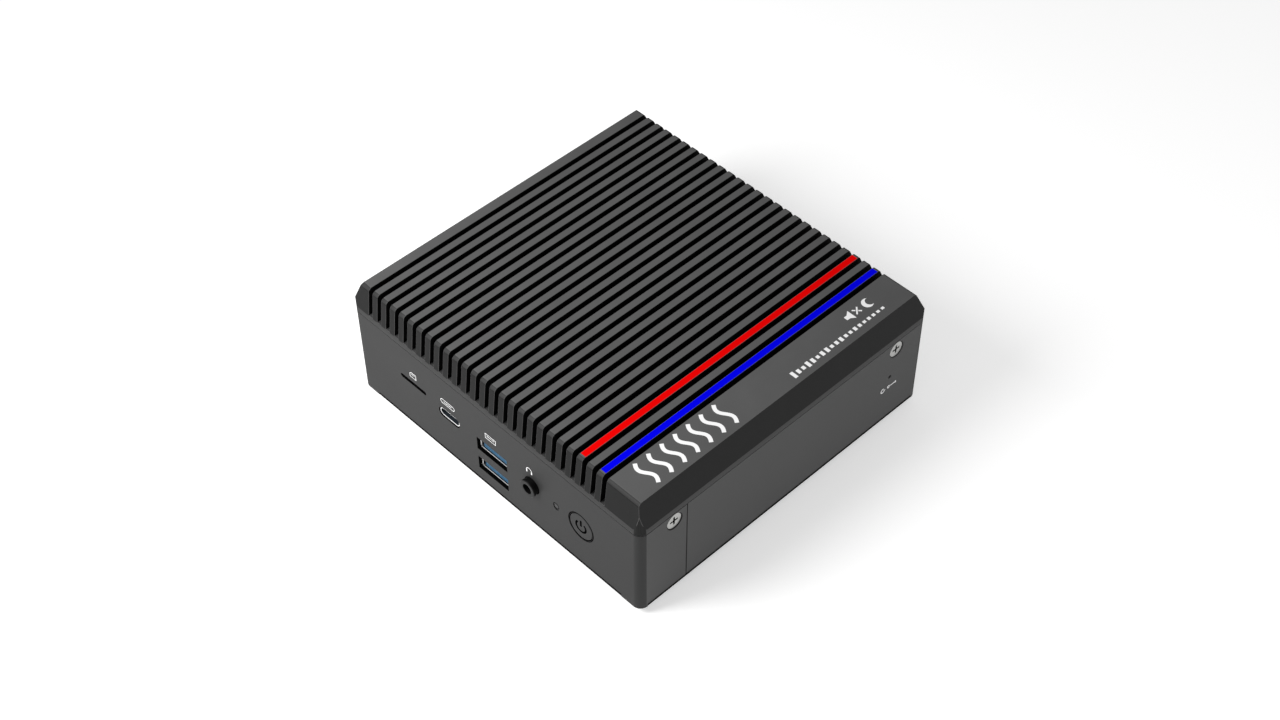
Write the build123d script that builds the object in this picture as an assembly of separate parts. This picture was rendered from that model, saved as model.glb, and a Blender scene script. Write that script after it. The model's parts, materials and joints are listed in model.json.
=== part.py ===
from build123d import *
import os

# Fanless mini computer: a finned aluminium lid on a two-piece case, with the board and
# sockets inside. Millimetres. X runs to the right, Y from front to back and Z up.
# The origin is on the desk, under the middle of the object's outer box.

# Overall size. The audio barrel stands in front of the case, so the case sits a little back.
CASE_WIDTH = 127.0
CASE_DEPTH = 122.8
CASE_HEIGHT = 46.6
FOOT_HEIGHT = 2.8
JACK_PROUD = 2.0
CORNER_R = 3.0
WALL = 2.0
FIT_GAP = 0.15

MIDDLE_Y = JACK_PROUD / 2
SIDE = CASE_WIDTH / 2
FRONT = MIDDLE_Y - CASE_DEPTH / 2
BACK = MIDDLE_Y + CASE_DEPTH / 2
BASE = FOOT_HEIGHT
TOP = BASE + CASE_HEIGHT
INNER_SIDE = SIDE - WALL
INNER_FRONT = FRONT + WALL
INNER_BACK = BACK - WALL
INNER_CORNER_R = CORNER_R - WALL

# Finned lid
SEAM = BASE + 33.8
SEAM_GAP = 0.25
BEVEL_BOTTOM = BASE + 36.0
FRONT_BEVEL = 1.3
BACK_BEVEL = 5.0
LEFT_BEVEL = 4.6
RIGHT_BEVEL = 1.8
END_EDGE_R = 1.5
GROOVE_COUNT = 26
GROOVE_WIDTH = 1.84
GROOVE_PITCH = 4.107
GROOVE_START = -55.37
GROOVE_FLOOR = BEVEL_BOTTOM + 0.15
LID_UNDERSIDE = SEAM - 3.0
LUG_LENGTH = 8.0
LUG_DEPTH = 6.0
LUG_BOTTOM = LID_UNDERSIDE - 4.2
BOARD_BOSS_R = 3.25
BOARD_BOSS_BORE = 6.0
PEDESTAL_X = (29.0, 47.0)
PEDESTAL_Y = (-17.0, 27.0)
PEDESTAL_BOTTOM = LID_UNDERSIDE - 4.2
BLOCK_POCKET = 1.0

# Screws and their holes (M3)
THREAD_R = 1.5
THREAD_HOLE_R = 1.52
CLEAR_HOLE_R = 1.7
HEAD_R = 2.75
HEAD_DEPTH = 1.25
COUNTERSINK_R = 3.1
COUNTERSINK_CONE_R = 2.98
SIDE_SCREW_Y = 47.7
SIDE_SCREW_Z = BASE + 30.1
SIDE_HEAD_SUNK = 0.3
SCREW_LENGTH = 6.4
CROSS_LENGTH = 3.1
CROSS_WIDTH = 0.62
CROSS_DEPTH = 0.9
CROSS_CORE_R = 0.62
CROSS_CORE_DEPTH = 1.17
SUNK_HOLE_DEPTH = 6.0
PAN_EDGE_SHARE = 1 / 3

# Lower case
SPLIT_Y = MIDDLE_Y - 42.65
SPLIT_GAP = 0.4
FRAME_TOP = SEAM - SEAM_GAP
NOTCH_HEIGHT = 1.22
NOTCH_INSET = 0.12
NOTCH_HALF_FRONT = 55.5
NOTCH_HALF_SIDE = 58.4
TAB_THICK = 1.1
TAB_REACH = 4.0
TAB_Z = (12.0, 26.0)
POST_SIZE = 7.0
POST_TOP = 20.0
POST_BORE = 9.0
BASE_SCREW_X = 57.6
BASE_SCREW_Y = 55.5

# Base cover and feet
COVER_LIP = 1.15
COVER_THICK = 2.0
COVER_TOP = BASE + COVER_THICK
VENT_WIDTH = 1.8
VENT_LENGTH = 16.0
VENT_PITCH = 4.2
VENT_COUNT = 11
VENT_ROWS = (-19.0, 1.0, 21.0)
FOOT_R = 7.5
FOOT_EDGE_R = 0.8
FOOT_SUNK = 0.5
FOOT_X = 50.0
FOOT_Y = 47.0
PATTERN = 75.0
INSERT_R = 2.8
INSERT_BORE_R = 1.65
INSERT_LENGTH = 6.0
INSERT_BOSS_R = 4.6
INSERT_BOSS_TOP = BASE + 8.0

# Mainboard, hung under the lid
BOARD_X = 58.0
BOARD_Y = (-56.4, 58.0)
BOARD_UNDER = BASE + 21.0
BOARD_TOP = BOARD_UNDER + 1.6
BOARD_CORNER_R = 2.0
BOARD_HOLE_R = 1.7
BOARD_SCREW_X = 48.0
BOARD_SCREW_Y = (MIDDLE_Y - 39.0, MIDDLE_Y + 39.0)
PAN_R = 2.8
PAN_DEPTH = 1.8
BOARD_SCREW_LENGTH = 6.0

# Processor and cooling
CHIP_X = 0.0
CHIP_Y = 5.0
SUBSTRATE = (35.0, 24.0, 0.8)
DIE = (14.0, 9.5, 0.5)
PAD_SIZE = (18.0, 13.0, 0.4)
HEAT_BLOCK = 36.0
CHOKE = (6.8, 6.8, 3.2)
CHOKE_LEAD = 0.5
CHOKE_X = (33.5, 42.5)
CHOKE_Y = (-11.0, 0.0, 11.0, 21.0)
CAPACITOR_R = 3.15
CAPACITOR_FOOT = 0.7
CAPACITOR_TOP_R = 3.0
CAPACITOR_HEIGHT = 5.6
CAPACITOR_EDGE = 0.35
CAPACITOR_PLACES = ((24.0, -11.0), (24.0, -19.0), (24.0, 23.0), (24.0, 31.0), (40.0, 35.0), (50.5, 30.0))
CHIPS = ((-42.0, 30.0, 9.0, 9.0, 0.9), (-26.0, 36.0, 7.0, 7.0, 0.9), (8.0, -28.0, 12.0, 12.0, 1.2),
         (-6.0, 44.0, 10.0, 6.0, 1.6), (14.0, 40.0, 6.0, 6.0, 0.9), (14.0, -44.0, 5.0, 5.0, 0.9))
CHIP_LEG = 0.9
CHIP_LEG_HEIGHT = 0.35

# Memory module and its socket
SOCKET_X = 36.0
SOCKET_Y = (-35.0, -28.5)
SOCKET_DROP = 5.2
SOCKET_ARM = 2.2
SOCKET_ARM_END = -6.0
MODULE_HALF = 33.8
MODULE_Y = (-33.4, -3.4)
MODULE_DROP = 3.2
MODULE_THICK = 1.2
MEMORY_CHIP = (12.0, 9.0, 1.0)
MEMORY_CHIP_X = (-24.0, -9.0, 9.0, 24.0)
MEMORY_CHIP_Y = (-12.5, -22.5)

# Storage and wireless cards
SSD_CENTRE_Y = 21.0
SSD_X = (-40.0, 40.0)
CARD_WIDTH = 22.0
CARD_THICK = 0.8
SSD_DROP = 3.3
CARD_SOCKET_DEPTH = 7.5
CARD_SOCKET_HEIGHT = 4.2
CARD_TONGUE_SLOT = 3.0
SSD_CHIP = (14.0, 18.0, 1.1)
SSD_CHIP_X = (-27.0, -8.0, 9.0, 26.0)
WIFI_CENTRE_X = -33.0
WIFI_Y = (-48.0, -18.0)
WIFI_RISE = 2.5
WIFI_CAN = (17.0, 15.0, 1.3)
WIFI_CAN_Y = -33.0
WIFI_SOCKET_R = 1.0
WIFI_SOCKET_X = (-40.0, -26.0)
WIFI_SOCKET_Y = -43.0
WIFI_SOCKET_HEIGHT = 0.5
CARD_SCREW_R = 1.4
CARD_HOLE_R = 1.5
CARD_HEAD_R = 2.6
CARD_HEAD = 1.0
STANDOFF_R = 2.6
STANDOFF_HOLE_R = 1.42

# Antennas on the inside of the front wall, and their coaxial cables
ANTENNA_X = (35.0, 56.0)
ANTENNA_Z = (26.2, 32.8)
ANTENNA_THICK = 0.3
CABLE_R = 0.57
CABLE_BEND = 2.0
CABLE_PLUG_R = 1.5
CABLE_PLUG_HEIGHT = 1.5
CABLE_LOW = BOARD_TOP + 0.8
CABLE_LANE_Y = -54.5
CABLE_LANE_X = (-19.0, 38.0)

# Coin cell
CELL_X = 47.0
CELL_Y = -16.0
CELL_R = 10.0
CELL_THICK = 3.2
HOLDER_WALL = 0.9
HOLDER_FLOOR = 1.0
HOLDER_SLOT = 8.0

# Stacked USB-A sockets
USB_X = -0.1
USB_HEIGHTS = (BASE + 8.3, BASE + 17.1)
USB_PANEL = (13.5, 5.3)
USB_MOUTH = (12.4, 4.9)
USB_CAGE_WIDTH = 14.4
USB_CAGE_DEPTH = 17.2
USB_CAGE_BOTTOM = BASE + 4.9
USB_CAVITY = 12.6
USB_SUNK = 2.05
USB_TONGUE = (11.1, 1.84)
REAR_TONGUE_LENGTH = 9.2
USB_TONGUE_RISE = 1.35
FRONT_USB_SUNK = 1.35
FRONT_USB_SEAT = 1.3
FRONT_TONGUE_LENGTH = 12.2
FRONT_PIN_INSET = 0.3
USB_PIN = (1.0, 7.4, 0.12)
USB_PIN_PITCH = 2.1
USB_PINS = 4
REAR_USB_X = -32.0

# USB-C socket
USB_C_X = -19.5
USB_C_Z = BASE + 18.2
USB_C_PANEL = (9.7, 4.0)
USB_C_SHELL = (9.0, 3.3)
USB_C_SKIN = 0.33
USB_C_DEPTH = 9.0
USB_C_SUNK = 0.3
USB_C_SEAT = 3.4
USB_C_TONGUE = (6.7, 5.4, 0.7)

# Memory-card slot with its spring-loaded ejector slider
CARD_X = -36.2
CARD_Z = BASE + 20.1
CARD_PANEL = (12.1, 1.5)
CARD_CAGE = (16.4, 15.5)
CARD_CAGE_BOTTOM = BOARD_UNDER - 1.75
CARD_CAVITY = (14.6, 13.5, 1.0)
SLIDER = (1.9, 4.6, 0.7)
SLIDER_CATCH = (2.2, 0.8)
SLIDER_GAP = 0.15
SLIDER_START = 4.6

# Audio jack
JACK_X = 17.8
JACK_Z = BASE + 18.1
JACK_BARREL_R = 2.85
JACK_LIP_R = 3.1
JACK_LIP = 0.9
JACK_LIP_CHAMFER = 0.2
JACK_BORE_R = 1.8
JACK_BORE_DEPTH = 14.0
JACK_PANEL_R = 3.2
JACK_BODY = (6.6, 12.0, 5.8)
JACK_KEY = (0.9, 0.75)
JACK_SPRING_TIP = 1.62
JACK_SPRING_START = 0.7

# Status light
LIGHT_X = 28.3
LIGHT_Z = BASE + 17.1
LIGHT_R = 1.0
LIGHT_HOLE_R = 1.1
LIGHT_SUNK = 0.12
LIGHT_FLANGE_R = 1.7
LIGHT_FLANGE = 0.8
LIGHT_TURN_Y = FRONT + 6.0
LED_SIZE = (1.6, 1.6, 0.7)

# Power button and its switch
BUTTON_X = 38.9
BUTTON_Z = BASE + 17.5
BUTTON_R = 4.7
BUTTON_HOLE_R = 5.0
BUTTON_EDGE_R = 0.25
BUTTON_TRAVEL = 0.4
BUTTON_FLANGE_R = 5.7
BUTTON_FLANGE = 0.7
BUTTON_REAR_GAP = 0.1
STEM_R = 1.8
SWITCH_BODY = (6.4, 4.0)
SWITCH_FRONT = FRONT + 7.0
SWITCH_BOTTOM = BUTTON_Z - 1.9
PLUNGER_R = 1.2
PLUNGER_PROUD = 1.3
PLUNGER_SUNK = 1.2
PLUNGER_GAP = 0.1

# Reset switch behind its pin hole
RESET_Y = MIDDLE_Y + 45.9
RESET_Z = BASE + 19.2
RESET_HOLE_R = 0.7
RESET_BODY = (3.6, 4.8)
RESET_BOTTOM = RESET_Z - 1.5
RESET_PLUNGER_R = 0.9
RESET_PROUD = 1.5
RESET_SUNK = 1.1
RESET_FACE = 57.0

# Rear sockets
REAR_SUNK = 0.4
PANEL_GAP = 0.3
HDMI_X = (9.5, 28.5)
HDMI_Z = BOARD_UNDER - 3.3
HDMI_SHELL = (15.2, 6.0)
HDMI_MOUTH = (14.1, 4.6)
HDMI_NOTCH = (1.9, 1.5)
HDMI_DEPTH = 12.0
HDMI_CAVITY = 9.0
HDMI_TONGUE = (11.2, 7.2, 1.1)
NETWORK_X = -11.0
NETWORK_SHELL = (16.0, 21.0)
NETWORK_BOTTOM = BOARD_UNDER - 13.5
NETWORK_MOUTH = (12.0, 8.4)
NETWORK_MOUTH_Z = NETWORK_BOTTOM + 4.0
NETWORK_LATCH = (6.2, 3.0)
NETWORK_CAVITY = 14.0
NETWORK_SKIN = 0.6
NETWORK_PINS = 8
NETWORK_PIN_PITCH = 1.02
NETWORK_PIN = (0.45, 8.0, 0.6)
POWER_X = 46.0
POWER_Z = BOARD_UNDER - 6.2
POWER_BODY = (9.0, 14.0, 11.0)
POWER_BORE_R = 3.15
POWER_BORE_DEPTH = 9.8
POWER_PIN_R = 1.22
POWER_PIN_LENGTH = 9.0
POWER_PIN_ROOT = 3.0
POWER_PIN_ROOT_R = 1.7
POWER_PIN_TIP_EDGE = 0.4067
POWER_PANEL_R = 4.0
LOCK_X = -49.0
LOCK_Z = 14.0
LOCK_SLOT = (7.0, 3.0)


def block(x, y, z):
    """A box between two limits along each axis."""
    spans = [sorted(limits) for limits in (x, y, z)]
    centre = [(low + high) / 2 for low, high in spans]
    size = [high - low for low, high in spans]
    return Pos(*centre) * Box(*size)


def around(centre, size):
    """The limits of a stretch of this size about its centre."""
    return centre - size / 2, centre + size / 2


def rod(start, direction, radius, length):
    """A round bar from a point, along a direction."""
    bar = Cylinder(radius, length, align=(Align.CENTER, Align.CENTER, Align.MIN))
    return Plane(origin=start, z_dir=direction) * bar


def taper(start, direction, radius, end_radius, length):
    """A cone frustum from a point, along a direction."""
    cone = Cone(radius, end_radius, length, align=(Align.CENTER, Align.CENTER, Align.MIN))
    return Plane(origin=start, z_dir=direction) * cone


def upright(width, depth, radius, z, x=0.0, y=MIDDLE_Y):
    """A block with rounded upright corners between two heights."""
    outline = Pos(x, y, z[0]) * RectangleRounded(width, depth, radius)
    return extrude(outline, z[1] - z[0])


def pill(x, z, size, y):
    """A bar along Y whose section is a slot with round ends."""
    plane = Plane(origin=(x, min(y), z), x_dir=(1, 0, 0), z_dir=(0, 1, 0))
    return extrude(plane * SlotOverall(*size), max(y) - min(y))


def group(pieces):
    """Separate solids that share one node."""
    return Compound([solid for piece in pieces for solid in piece.solids()])


def screw(tip_start, direction, head_radius, length):
    """A flat-head cross-slot screw; it starts at the middle of its head's face."""
    origin = Vector(*tip_start)
    along = Vector(*direction)
    body = taper(origin, direction, head_radius, THREAD_R, HEAD_DEPTH)
    body += rod(origin + along * HEAD_DEPTH, direction, THREAD_R, length - HEAD_DEPTH)
    return body - cross_slot(origin, direction)


def cross_slot(origin, direction):
    """The cross-shaped driver recess in a screw's head."""
    place = Plane(origin=origin, z_dir=direction)
    low = (Align.CENTER, Align.CENTER, Align.MIN)
    bars = Box(CROSS_LENGTH, CROSS_WIDTH, CROSS_DEPTH, align=low)
    bars += Box(CROSS_WIDTH, CROSS_LENGTH, CROSS_DEPTH, align=low)
    bars += Cylinder(CROSS_CORE_R, CROSS_CORE_DEPTH, align=low)
    return place * bars


def pan_screw(start, direction, head_radius, head_depth, shank_radius, length):
    """A pan-head cross-slot screw; it starts at the outer face of its head."""
    origin = Vector(*start)
    along = Vector(*direction)
    body = rod(origin, direction, head_radius, head_depth)
    rim = body.edges().filter_by(GeomType.CIRCLE).sort_by_distance(origin)[0]
    body = fillet(rim, head_depth * PAN_EDGE_SHARE)
    body += rod(origin + along * head_depth, direction, shank_radius, length)
    return body - cross_slot(origin, direction)


def sunk_hole(face_point, direction, sunk):
    """The hole for a flat-head screw: a short counterbore, a cone and a clear hole."""
    origin = Vector(*face_point)
    along = Vector(*direction)
    cone_length = COUNTERSINK_CONE_R - CLEAR_HOLE_R
    hole = rod(origin, direction, COUNTERSINK_R, sunk)
    hole += taper(origin + along * sunk, direction, COUNTERSINK_CONE_R, CLEAR_HOLE_R, cone_length)
    return hole + rod(origin, direction, CLEAR_HOLE_R, SUNK_HOLE_DEPTH)


def case_corners(x, y):
    """The four points at plus and minus x, and y either side of the case's middle."""
    return [(side * x, MIDDLE_Y + end * y) for side in (-1, 1) for end in (-1, 1)]


# ------------------------------------------------------------------ finned lid


def roof(width, low_inset, high_inset, edge_radius):
    """The lid's section: upright sides, then a straight bevel at each end of the flat top."""
    half = width / 2
    outline = Polygon(
        (-half, LID_UNDERSIDE), (half, LID_UNDERSIDE), (half, BEVEL_BOTTOM), (half - high_inset, TOP),
        (low_inset - half, TOP), (-half, BEVEL_BOTTOM), align=None)
    if edge_radius:
        outline = fillet(outline.vertices().group_by(Axis.Y)[-1], edge_radius)
    return outline


def lid_block():
    """The lid's outside before its grooves: rounded corners and mitred bevels."""
    body = upright(CASE_WIDTH, CASE_DEPTH, CORNER_R, (SEAM, TOP))
    body &= extrude(Plane.XZ * roof(CASE_WIDTH, LEFT_BEVEL, RIGHT_BEVEL, 0), CASE_DEPTH, both=True)
    lengthwise = Plane(origin=(0, MIDDLE_Y, 0), x_dir=(0, 1, 0), z_dir=(1, 0, 0))
    ends = lengthwise * roof(CASE_DEPTH, FRONT_BEVEL, BACK_BEVEL, END_EDGE_R)
    return body & extrude(ends, CASE_WIDTH, both=True)


def heatsink_cover():
    body = lid_block()
    for index in range(GROOVE_COUNT):
        left = GROOVE_START + index * GROOVE_PITCH
        body -= block((left, left + GROOVE_WIDTH), (FRONT - WALL, BACK + WALL), (GROOVE_FLOOR, TOP + WALL))
    slack = 2 * FIT_GAP
    inside = (CASE_WIDTH - 2 * WALL - slack, CASE_DEPTH - 2 * WALL - slack)
    body += upright(*inside, INNER_CORNER_R, (LID_UNDERSIDE, SEAM))
    for x, y in case_corners(INNER_SIDE - FIT_GAP, SIDE_SCREW_Y):
        inner = x - LUG_DEPTH if x > 0 else x + LUG_DEPTH
        body += block((inner, x), around(y, LUG_LENGTH), (LUG_BOTTOM, LID_UNDERSIDE))
        outward = (-1, 0, 0) if x > 0 else (1, 0, 0)
        body -= rod((x, y, SIDE_SCREW_Z), outward, THREAD_HOLE_R, LUG_DEPTH)
    for x, y in board_screw_places():
        body += rod((x, y, BOARD_TOP), (0, 0, 1), BOARD_BOSS_R, LID_UNDERSIDE - BOARD_TOP)
        body -= rod((x, y, BOARD_TOP), (0, 0, 1), THREAD_HOLE_R, BOARD_BOSS_BORE)
    body += block(PEDESTAL_X, PEDESTAL_Y, (PEDESTAL_BOTTOM, LID_UNDERSIDE))
    pocket = (LID_UNDERSIDE, LID_UNDERSIDE + BLOCK_POCKET)
    return body - block(around(CHIP_X, HEAT_BLOCK), around(CHIP_Y, HEAT_BLOCK), pocket)


# ------------------------------------------------------------------ lower case


def case_ring():
    """The walls all round, with corner posts and the notch for the base cover's lip."""
    outside = upright(CASE_WIDTH, CASE_DEPTH, CORNER_R, (BASE, FRAME_TOP))
    inside = (CASE_WIDTH - 2 * WALL, CASE_DEPTH - 2 * WALL)
    ring = outside - upright(*inside, INNER_CORNER_R, (BASE, FRAME_TOP))
    notch_z = (BASE, BASE + NOTCH_HEIGHT)
    ring -= block((-NOTCH_HALF_FRONT, NOTCH_HALF_FRONT), (FRONT, BACK), notch_z)
    ring -= block((-SIDE, SIDE), around(MIDDLE_Y, 2 * NOTCH_HALF_SIDE), notch_z)
    for x, y in case_corners(INNER_SIDE, CASE_DEPTH / 2 - WALL):
        near = (x - POST_SIZE, x) if x > 0 else (x, x + POST_SIZE)
        deep = (y - POST_SIZE, y) if y > MIDDLE_Y else (y, y + POST_SIZE)
        ring += block(near, deep, (COVER_TOP, POST_TOP))
    for x, y in case_corners(BASE_SCREW_X, BASE_SCREW_Y):
        ring -= rod((x, y, COVER_TOP), (0, 0, 1), THREAD_HOLE_R, POST_BORE)
    for x, y in case_corners(SIDE, SIDE_SCREW_Y):
        inward = (-1, 0, 0) if x > 0 else (1, 0, 0)
        ring -= sunk_hole((x, y, SIDE_SCREW_Z), inward, SIDE_HEAD_SUNK)
    return ring


def front_frame():
    reach = (FRONT, SPLIT_Y - SPLIT_GAP / 2)
    frame = case_ring() & block((-SIDE, SIDE), reach, (BASE, FRAME_TOP))
    through = (FRONT, INNER_FRONT)
    for z in USB_HEIGHTS:
        frame -= block(around(USB_X, USB_PANEL[0]), through, around(z, USB_PANEL[1]))
    pocket = (USB_CAGE_BOTTOM - FIT_GAP, BOARD_UNDER + FIT_GAP)
    seat = (FRONT + FRONT_USB_SEAT, INNER_FRONT)
    frame -= block(around(USB_X, USB_CAGE_WIDTH + 2 * FIT_GAP), seat, pocket)
    frame -= pill(USB_C_X, USB_C_Z, USB_C_PANEL, through)
    frame -= pill(CARD_X, CARD_Z, CARD_PANEL, through)
    for x, z, radius in (
        (JACK_X, JACK_Z, JACK_PANEL_R),
        (LIGHT_X, LIGHT_Z, LIGHT_HOLE_R),
        (BUTTON_X, BUTTON_Z, BUTTON_HOLE_R),
    ):
        frame -= rod((x, FRONT, z), (0, 1, 0), radius, WALL)
    return frame


def rear_frame():
    reach = (SPLIT_Y + SPLIT_GAP / 2, BACK)
    frame = case_ring() & block((-SIDE, SIDE), reach, (BASE, FRAME_TOP))
    for side in (-1, 1):
        inner = side * (INNER_SIDE - TAB_THICK)
        behind = (reach[0], reach[0] + TAB_REACH)
        ahead = (SPLIT_Y - TAB_REACH, reach[0])
        frame += block((inner, side * INNER_SIDE), behind, TAB_Z)
        frame += block((inner, side * (INNER_SIDE - FIT_GAP)), ahead, TAB_Z)
    through = (INNER_BACK, BACK)
    frame -= rod((INNER_SIDE, RESET_Y, RESET_Z), (1, 0, 0), RESET_HOLE_R, WALL)
    for z in USB_HEIGHTS:
        frame -= block(around(REAR_USB_X, USB_PANEL[0]), through, around(z, USB_PANEL[1]))
    for x in HDMI_X:
        frame -= block(
            around(x, HDMI_SHELL[0] + 2 * PANEL_GAP), through, around(HDMI_Z, HDMI_SHELL[1] + 2 * PANEL_GAP))
    network_z = (NETWORK_BOTTOM - PANEL_GAP, BOARD_UNDER + PANEL_GAP)
    frame -= block(around(NETWORK_X, NETWORK_SHELL[0] + 2 * PANEL_GAP), through, network_z)
    frame -= rod((POWER_X, INNER_BACK, POWER_Z), (0, 1, 0), POWER_PANEL_R, WALL)
    return frame - pill(LOCK_X, LOCK_Z, LOCK_SLOT, through)


def base_cover():
    lip = (BASE, BASE + COVER_LIP)
    inner_width = CASE_WIDTH - 2 * (WALL + FIT_GAP)
    inner_depth = CASE_DEPTH - 2 * (WALL + FIT_GAP)
    cover = upright(inner_width, inner_depth, INNER_CORNER_R, (BASE, COVER_TOP))
    front_lip = 2 * (NOTCH_HALF_FRONT - FIT_GAP)
    side_lip = 2 * (NOTCH_HALF_SIDE - FIT_GAP)
    cover += block(around(0, front_lip), around(MIDDLE_Y, CASE_DEPTH - 2 * NOTCH_INSET), lip)
    cover += block(around(0, CASE_WIDTH - 2 * NOTCH_INSET), around(MIDDLE_Y, side_lip), lip)
    for x, y in case_corners(PATTERN / 2, PATTERN / 2):
        cover += rod((x, y, COVER_TOP), (0, 0, 1), INSERT_BOSS_R, INSERT_BOSS_TOP - COVER_TOP)
        cover -= rod((x, y, BASE), (0, 0, 1), INSERT_R, INSERT_LENGTH)
    for x, y in case_corners(FOOT_X, FOOT_Y):
        cover -= rod((x, y, BASE), (0, 0, 1), FOOT_R, FOOT_SUNK)
    for x, y in case_corners(BASE_SCREW_X, BASE_SCREW_Y):
        cover -= sunk_hole((x, y, BASE), (0, 0, 1), FIT_GAP)
    middle = (VENT_COUNT - 1) / 2
    for row in VENT_ROWS:
        for index in range(VENT_COUNT):
            x = (index - middle) * VENT_PITCH
            slot = Pos(x, row, BASE) * SlotOverall(VENT_LENGTH, VENT_WIDTH, rotation=90)
            cover -= extrude(slot, COVER_THICK)
    return cover


def feet():
    """One round rubber foot under each corner, by name."""
    made = {}
    for end, y in (("front", MIDDLE_Y - FOOT_Y), ("rear", MIDDLE_Y + FOOT_Y)):
        for side, x in (("left", -FOOT_X), ("right", FOOT_X)):
            foot = rod((x, y, 0), (0, 0, 1), FOOT_R, FOOT_HEIGHT + FOOT_SUNK)
            made[f"foot_{end}_{side}"] = fillet(foot.edges().group_by(Axis.Z)[0], FOOT_EDGE_R)
    return made


def side_screws():
    made = []
    for x, y in case_corners(SIDE - SIDE_HEAD_SUNK, SIDE_SCREW_Y):
        inward = (-1, 0, 0) if x > 0 else (1, 0, 0)
        made.append(screw((x, y, SIDE_SCREW_Z), inward, HEAD_R, SCREW_LENGTH))
    return group(made)


def base_screws():
    places = case_corners(BASE_SCREW_X, BASE_SCREW_Y)
    return group(screw((x, y, BASE + FIT_GAP), (0, 0, 1), HEAD_R, SCREW_LENGTH) for x, y in places)


def mounting_inserts():
    """Brass thread inserts on the 75 mm square that screen brackets use."""
    made = []
    for x, y in case_corners(PATTERN / 2, PATTERN / 2):
        sleeve = rod((x, y, BASE), (0, 0, 1), INSERT_R, INSERT_LENGTH)
        made.append(sleeve - rod((x, y, BASE), (0, 0, 1), INSERT_BORE_R, INSERT_LENGTH))
    return group(made)


# ------------------------------------------------------------ light and buttons


def status_light_pipe():
    """A clear rod from the front face that turns up to the light on the board."""
    front = FRONT + LIGHT_SUNK
    pipe = rod((LIGHT_X, front, LIGHT_Z), (0, 1, 0), LIGHT_R, LIGHT_TURN_Y - front)
    pipe += Pos(LIGHT_X, LIGHT_TURN_Y, LIGHT_Z) * Sphere(LIGHT_R)
    rise = BOARD_UNDER - LED_SIZE[2] - FIT_GAP - LIGHT_Z
    pipe += rod((LIGHT_X, LIGHT_TURN_Y, LIGHT_Z), (0, 0, 1), LIGHT_R, rise)
    return pipe + rod((LIGHT_X, INNER_FRONT, LIGHT_Z), (0, 1, 0), LIGHT_FLANGE_R, LIGHT_FLANGE)


def status_led():
    return block(
        around(LIGHT_X, LED_SIZE[0]), around(LIGHT_TURN_Y, LED_SIZE[1]),
        (BOARD_UNDER - LED_SIZE[2], BOARD_UNDER))


def power_button():
    """A round cap, flush with the front, with a flange that stops it behind the wall."""
    flange_y = INNER_FRONT + BUTTON_REAR_GAP
    cap = rod((BUTTON_X, FRONT, BUTTON_Z), (0, 1, 0), BUTTON_R, flange_y - FRONT)
    cap = fillet(cap.edges().group_by(Axis.Y)[0], BUTTON_EDGE_R)
    cap += rod((BUTTON_X, flange_y, BUTTON_Z), (0, 1, 0), BUTTON_FLANGE_R, BUTTON_FLANGE)
    stem_end = SWITCH_FRONT - PLUNGER_PROUD - PLUNGER_GAP
    return cap + rod((BUTTON_X, flange_y, BUTTON_Z), (0, 1, 0), STEM_R, stem_end - flange_y)


def power_switch_body():
    body = block(
        around(BUTTON_X, SWITCH_BODY[0]), (SWITCH_FRONT, SWITCH_FRONT + SWITCH_BODY[1]),
        (SWITCH_BOTTOM, BOARD_UNDER))
    depth = PLUNGER_SUNK + BUTTON_TRAVEL + PLUNGER_GAP
    return body - rod((BUTTON_X, SWITCH_FRONT, BUTTON_Z), (0, 1, 0), PLUNGER_R + PLUNGER_GAP, depth)


def power_switch_plunger():
    start = SWITCH_FRONT - PLUNGER_PROUD
    return rod((BUTTON_X, start, BUTTON_Z), (0, 1, 0), PLUNGER_R, PLUNGER_PROUD + PLUNGER_SUNK)


def reset_switch_body():
    x = (RESET_FACE - RESET_BODY[0], RESET_FACE)
    body = block(x, around(RESET_Y, RESET_BODY[1]), (RESET_BOTTOM, BOARD_UNDER))
    depth = RESET_SUNK + BUTTON_TRAVEL + PLUNGER_GAP
    return body - rod((RESET_FACE, RESET_Y, RESET_Z), (-1, 0, 0), RESET_PLUNGER_R + PLUNGER_GAP, depth)


def reset_switch_plunger():
    start = (RESET_FACE + RESET_PROUD, RESET_Y, RESET_Z)
    return rod(start, (-1, 0, 0), RESET_PLUNGER_R, RESET_PROUD + RESET_SUNK)


# ------------------------------------------------------------------- mainboard


def board_screw_places():
    return [(side * BOARD_SCREW_X, y) for side in (-1, 1) for y in BOARD_SCREW_Y]


def mainboard():
    depth = BOARD_Y[1] - BOARD_Y[0]
    middle = sum(BOARD_Y) / 2
    board = upright(2 * BOARD_X, depth, BOARD_CORNER_R, (BOARD_UNDER, BOARD_TOP), y=middle)
    for x, y in board_screw_places():
        board -= rod((x, y, BOARD_UNDER), (0, 0, 1), BOARD_HOLE_R, BOARD_TOP - BOARD_UNDER)
    return board


def mainboard_screws():
    start = BOARD_UNDER - PAN_DEPTH
    return group(
        pan_screw((x, y, start), (0, 0, 1), PAN_R, PAN_DEPTH, THREAD_R, BOARD_SCREW_LENGTH)
        for x, y in board_screw_places())


def slab(size, bottom, x=CHIP_X, y=CHIP_Y):
    """A flat block standing on a height."""
    return block(around(x, size[0]), around(y, size[1]), (bottom, bottom + size[2]))


def processor():
    return slab(SUBSTRATE, BOARD_TOP) + slab(DIE, BOARD_TOP + SUBSTRATE[2])


def cpu_thermal_pad():
    return slab(PAD_SIZE, BOARD_TOP + SUBSTRATE[2] + DIE[2])


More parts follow.
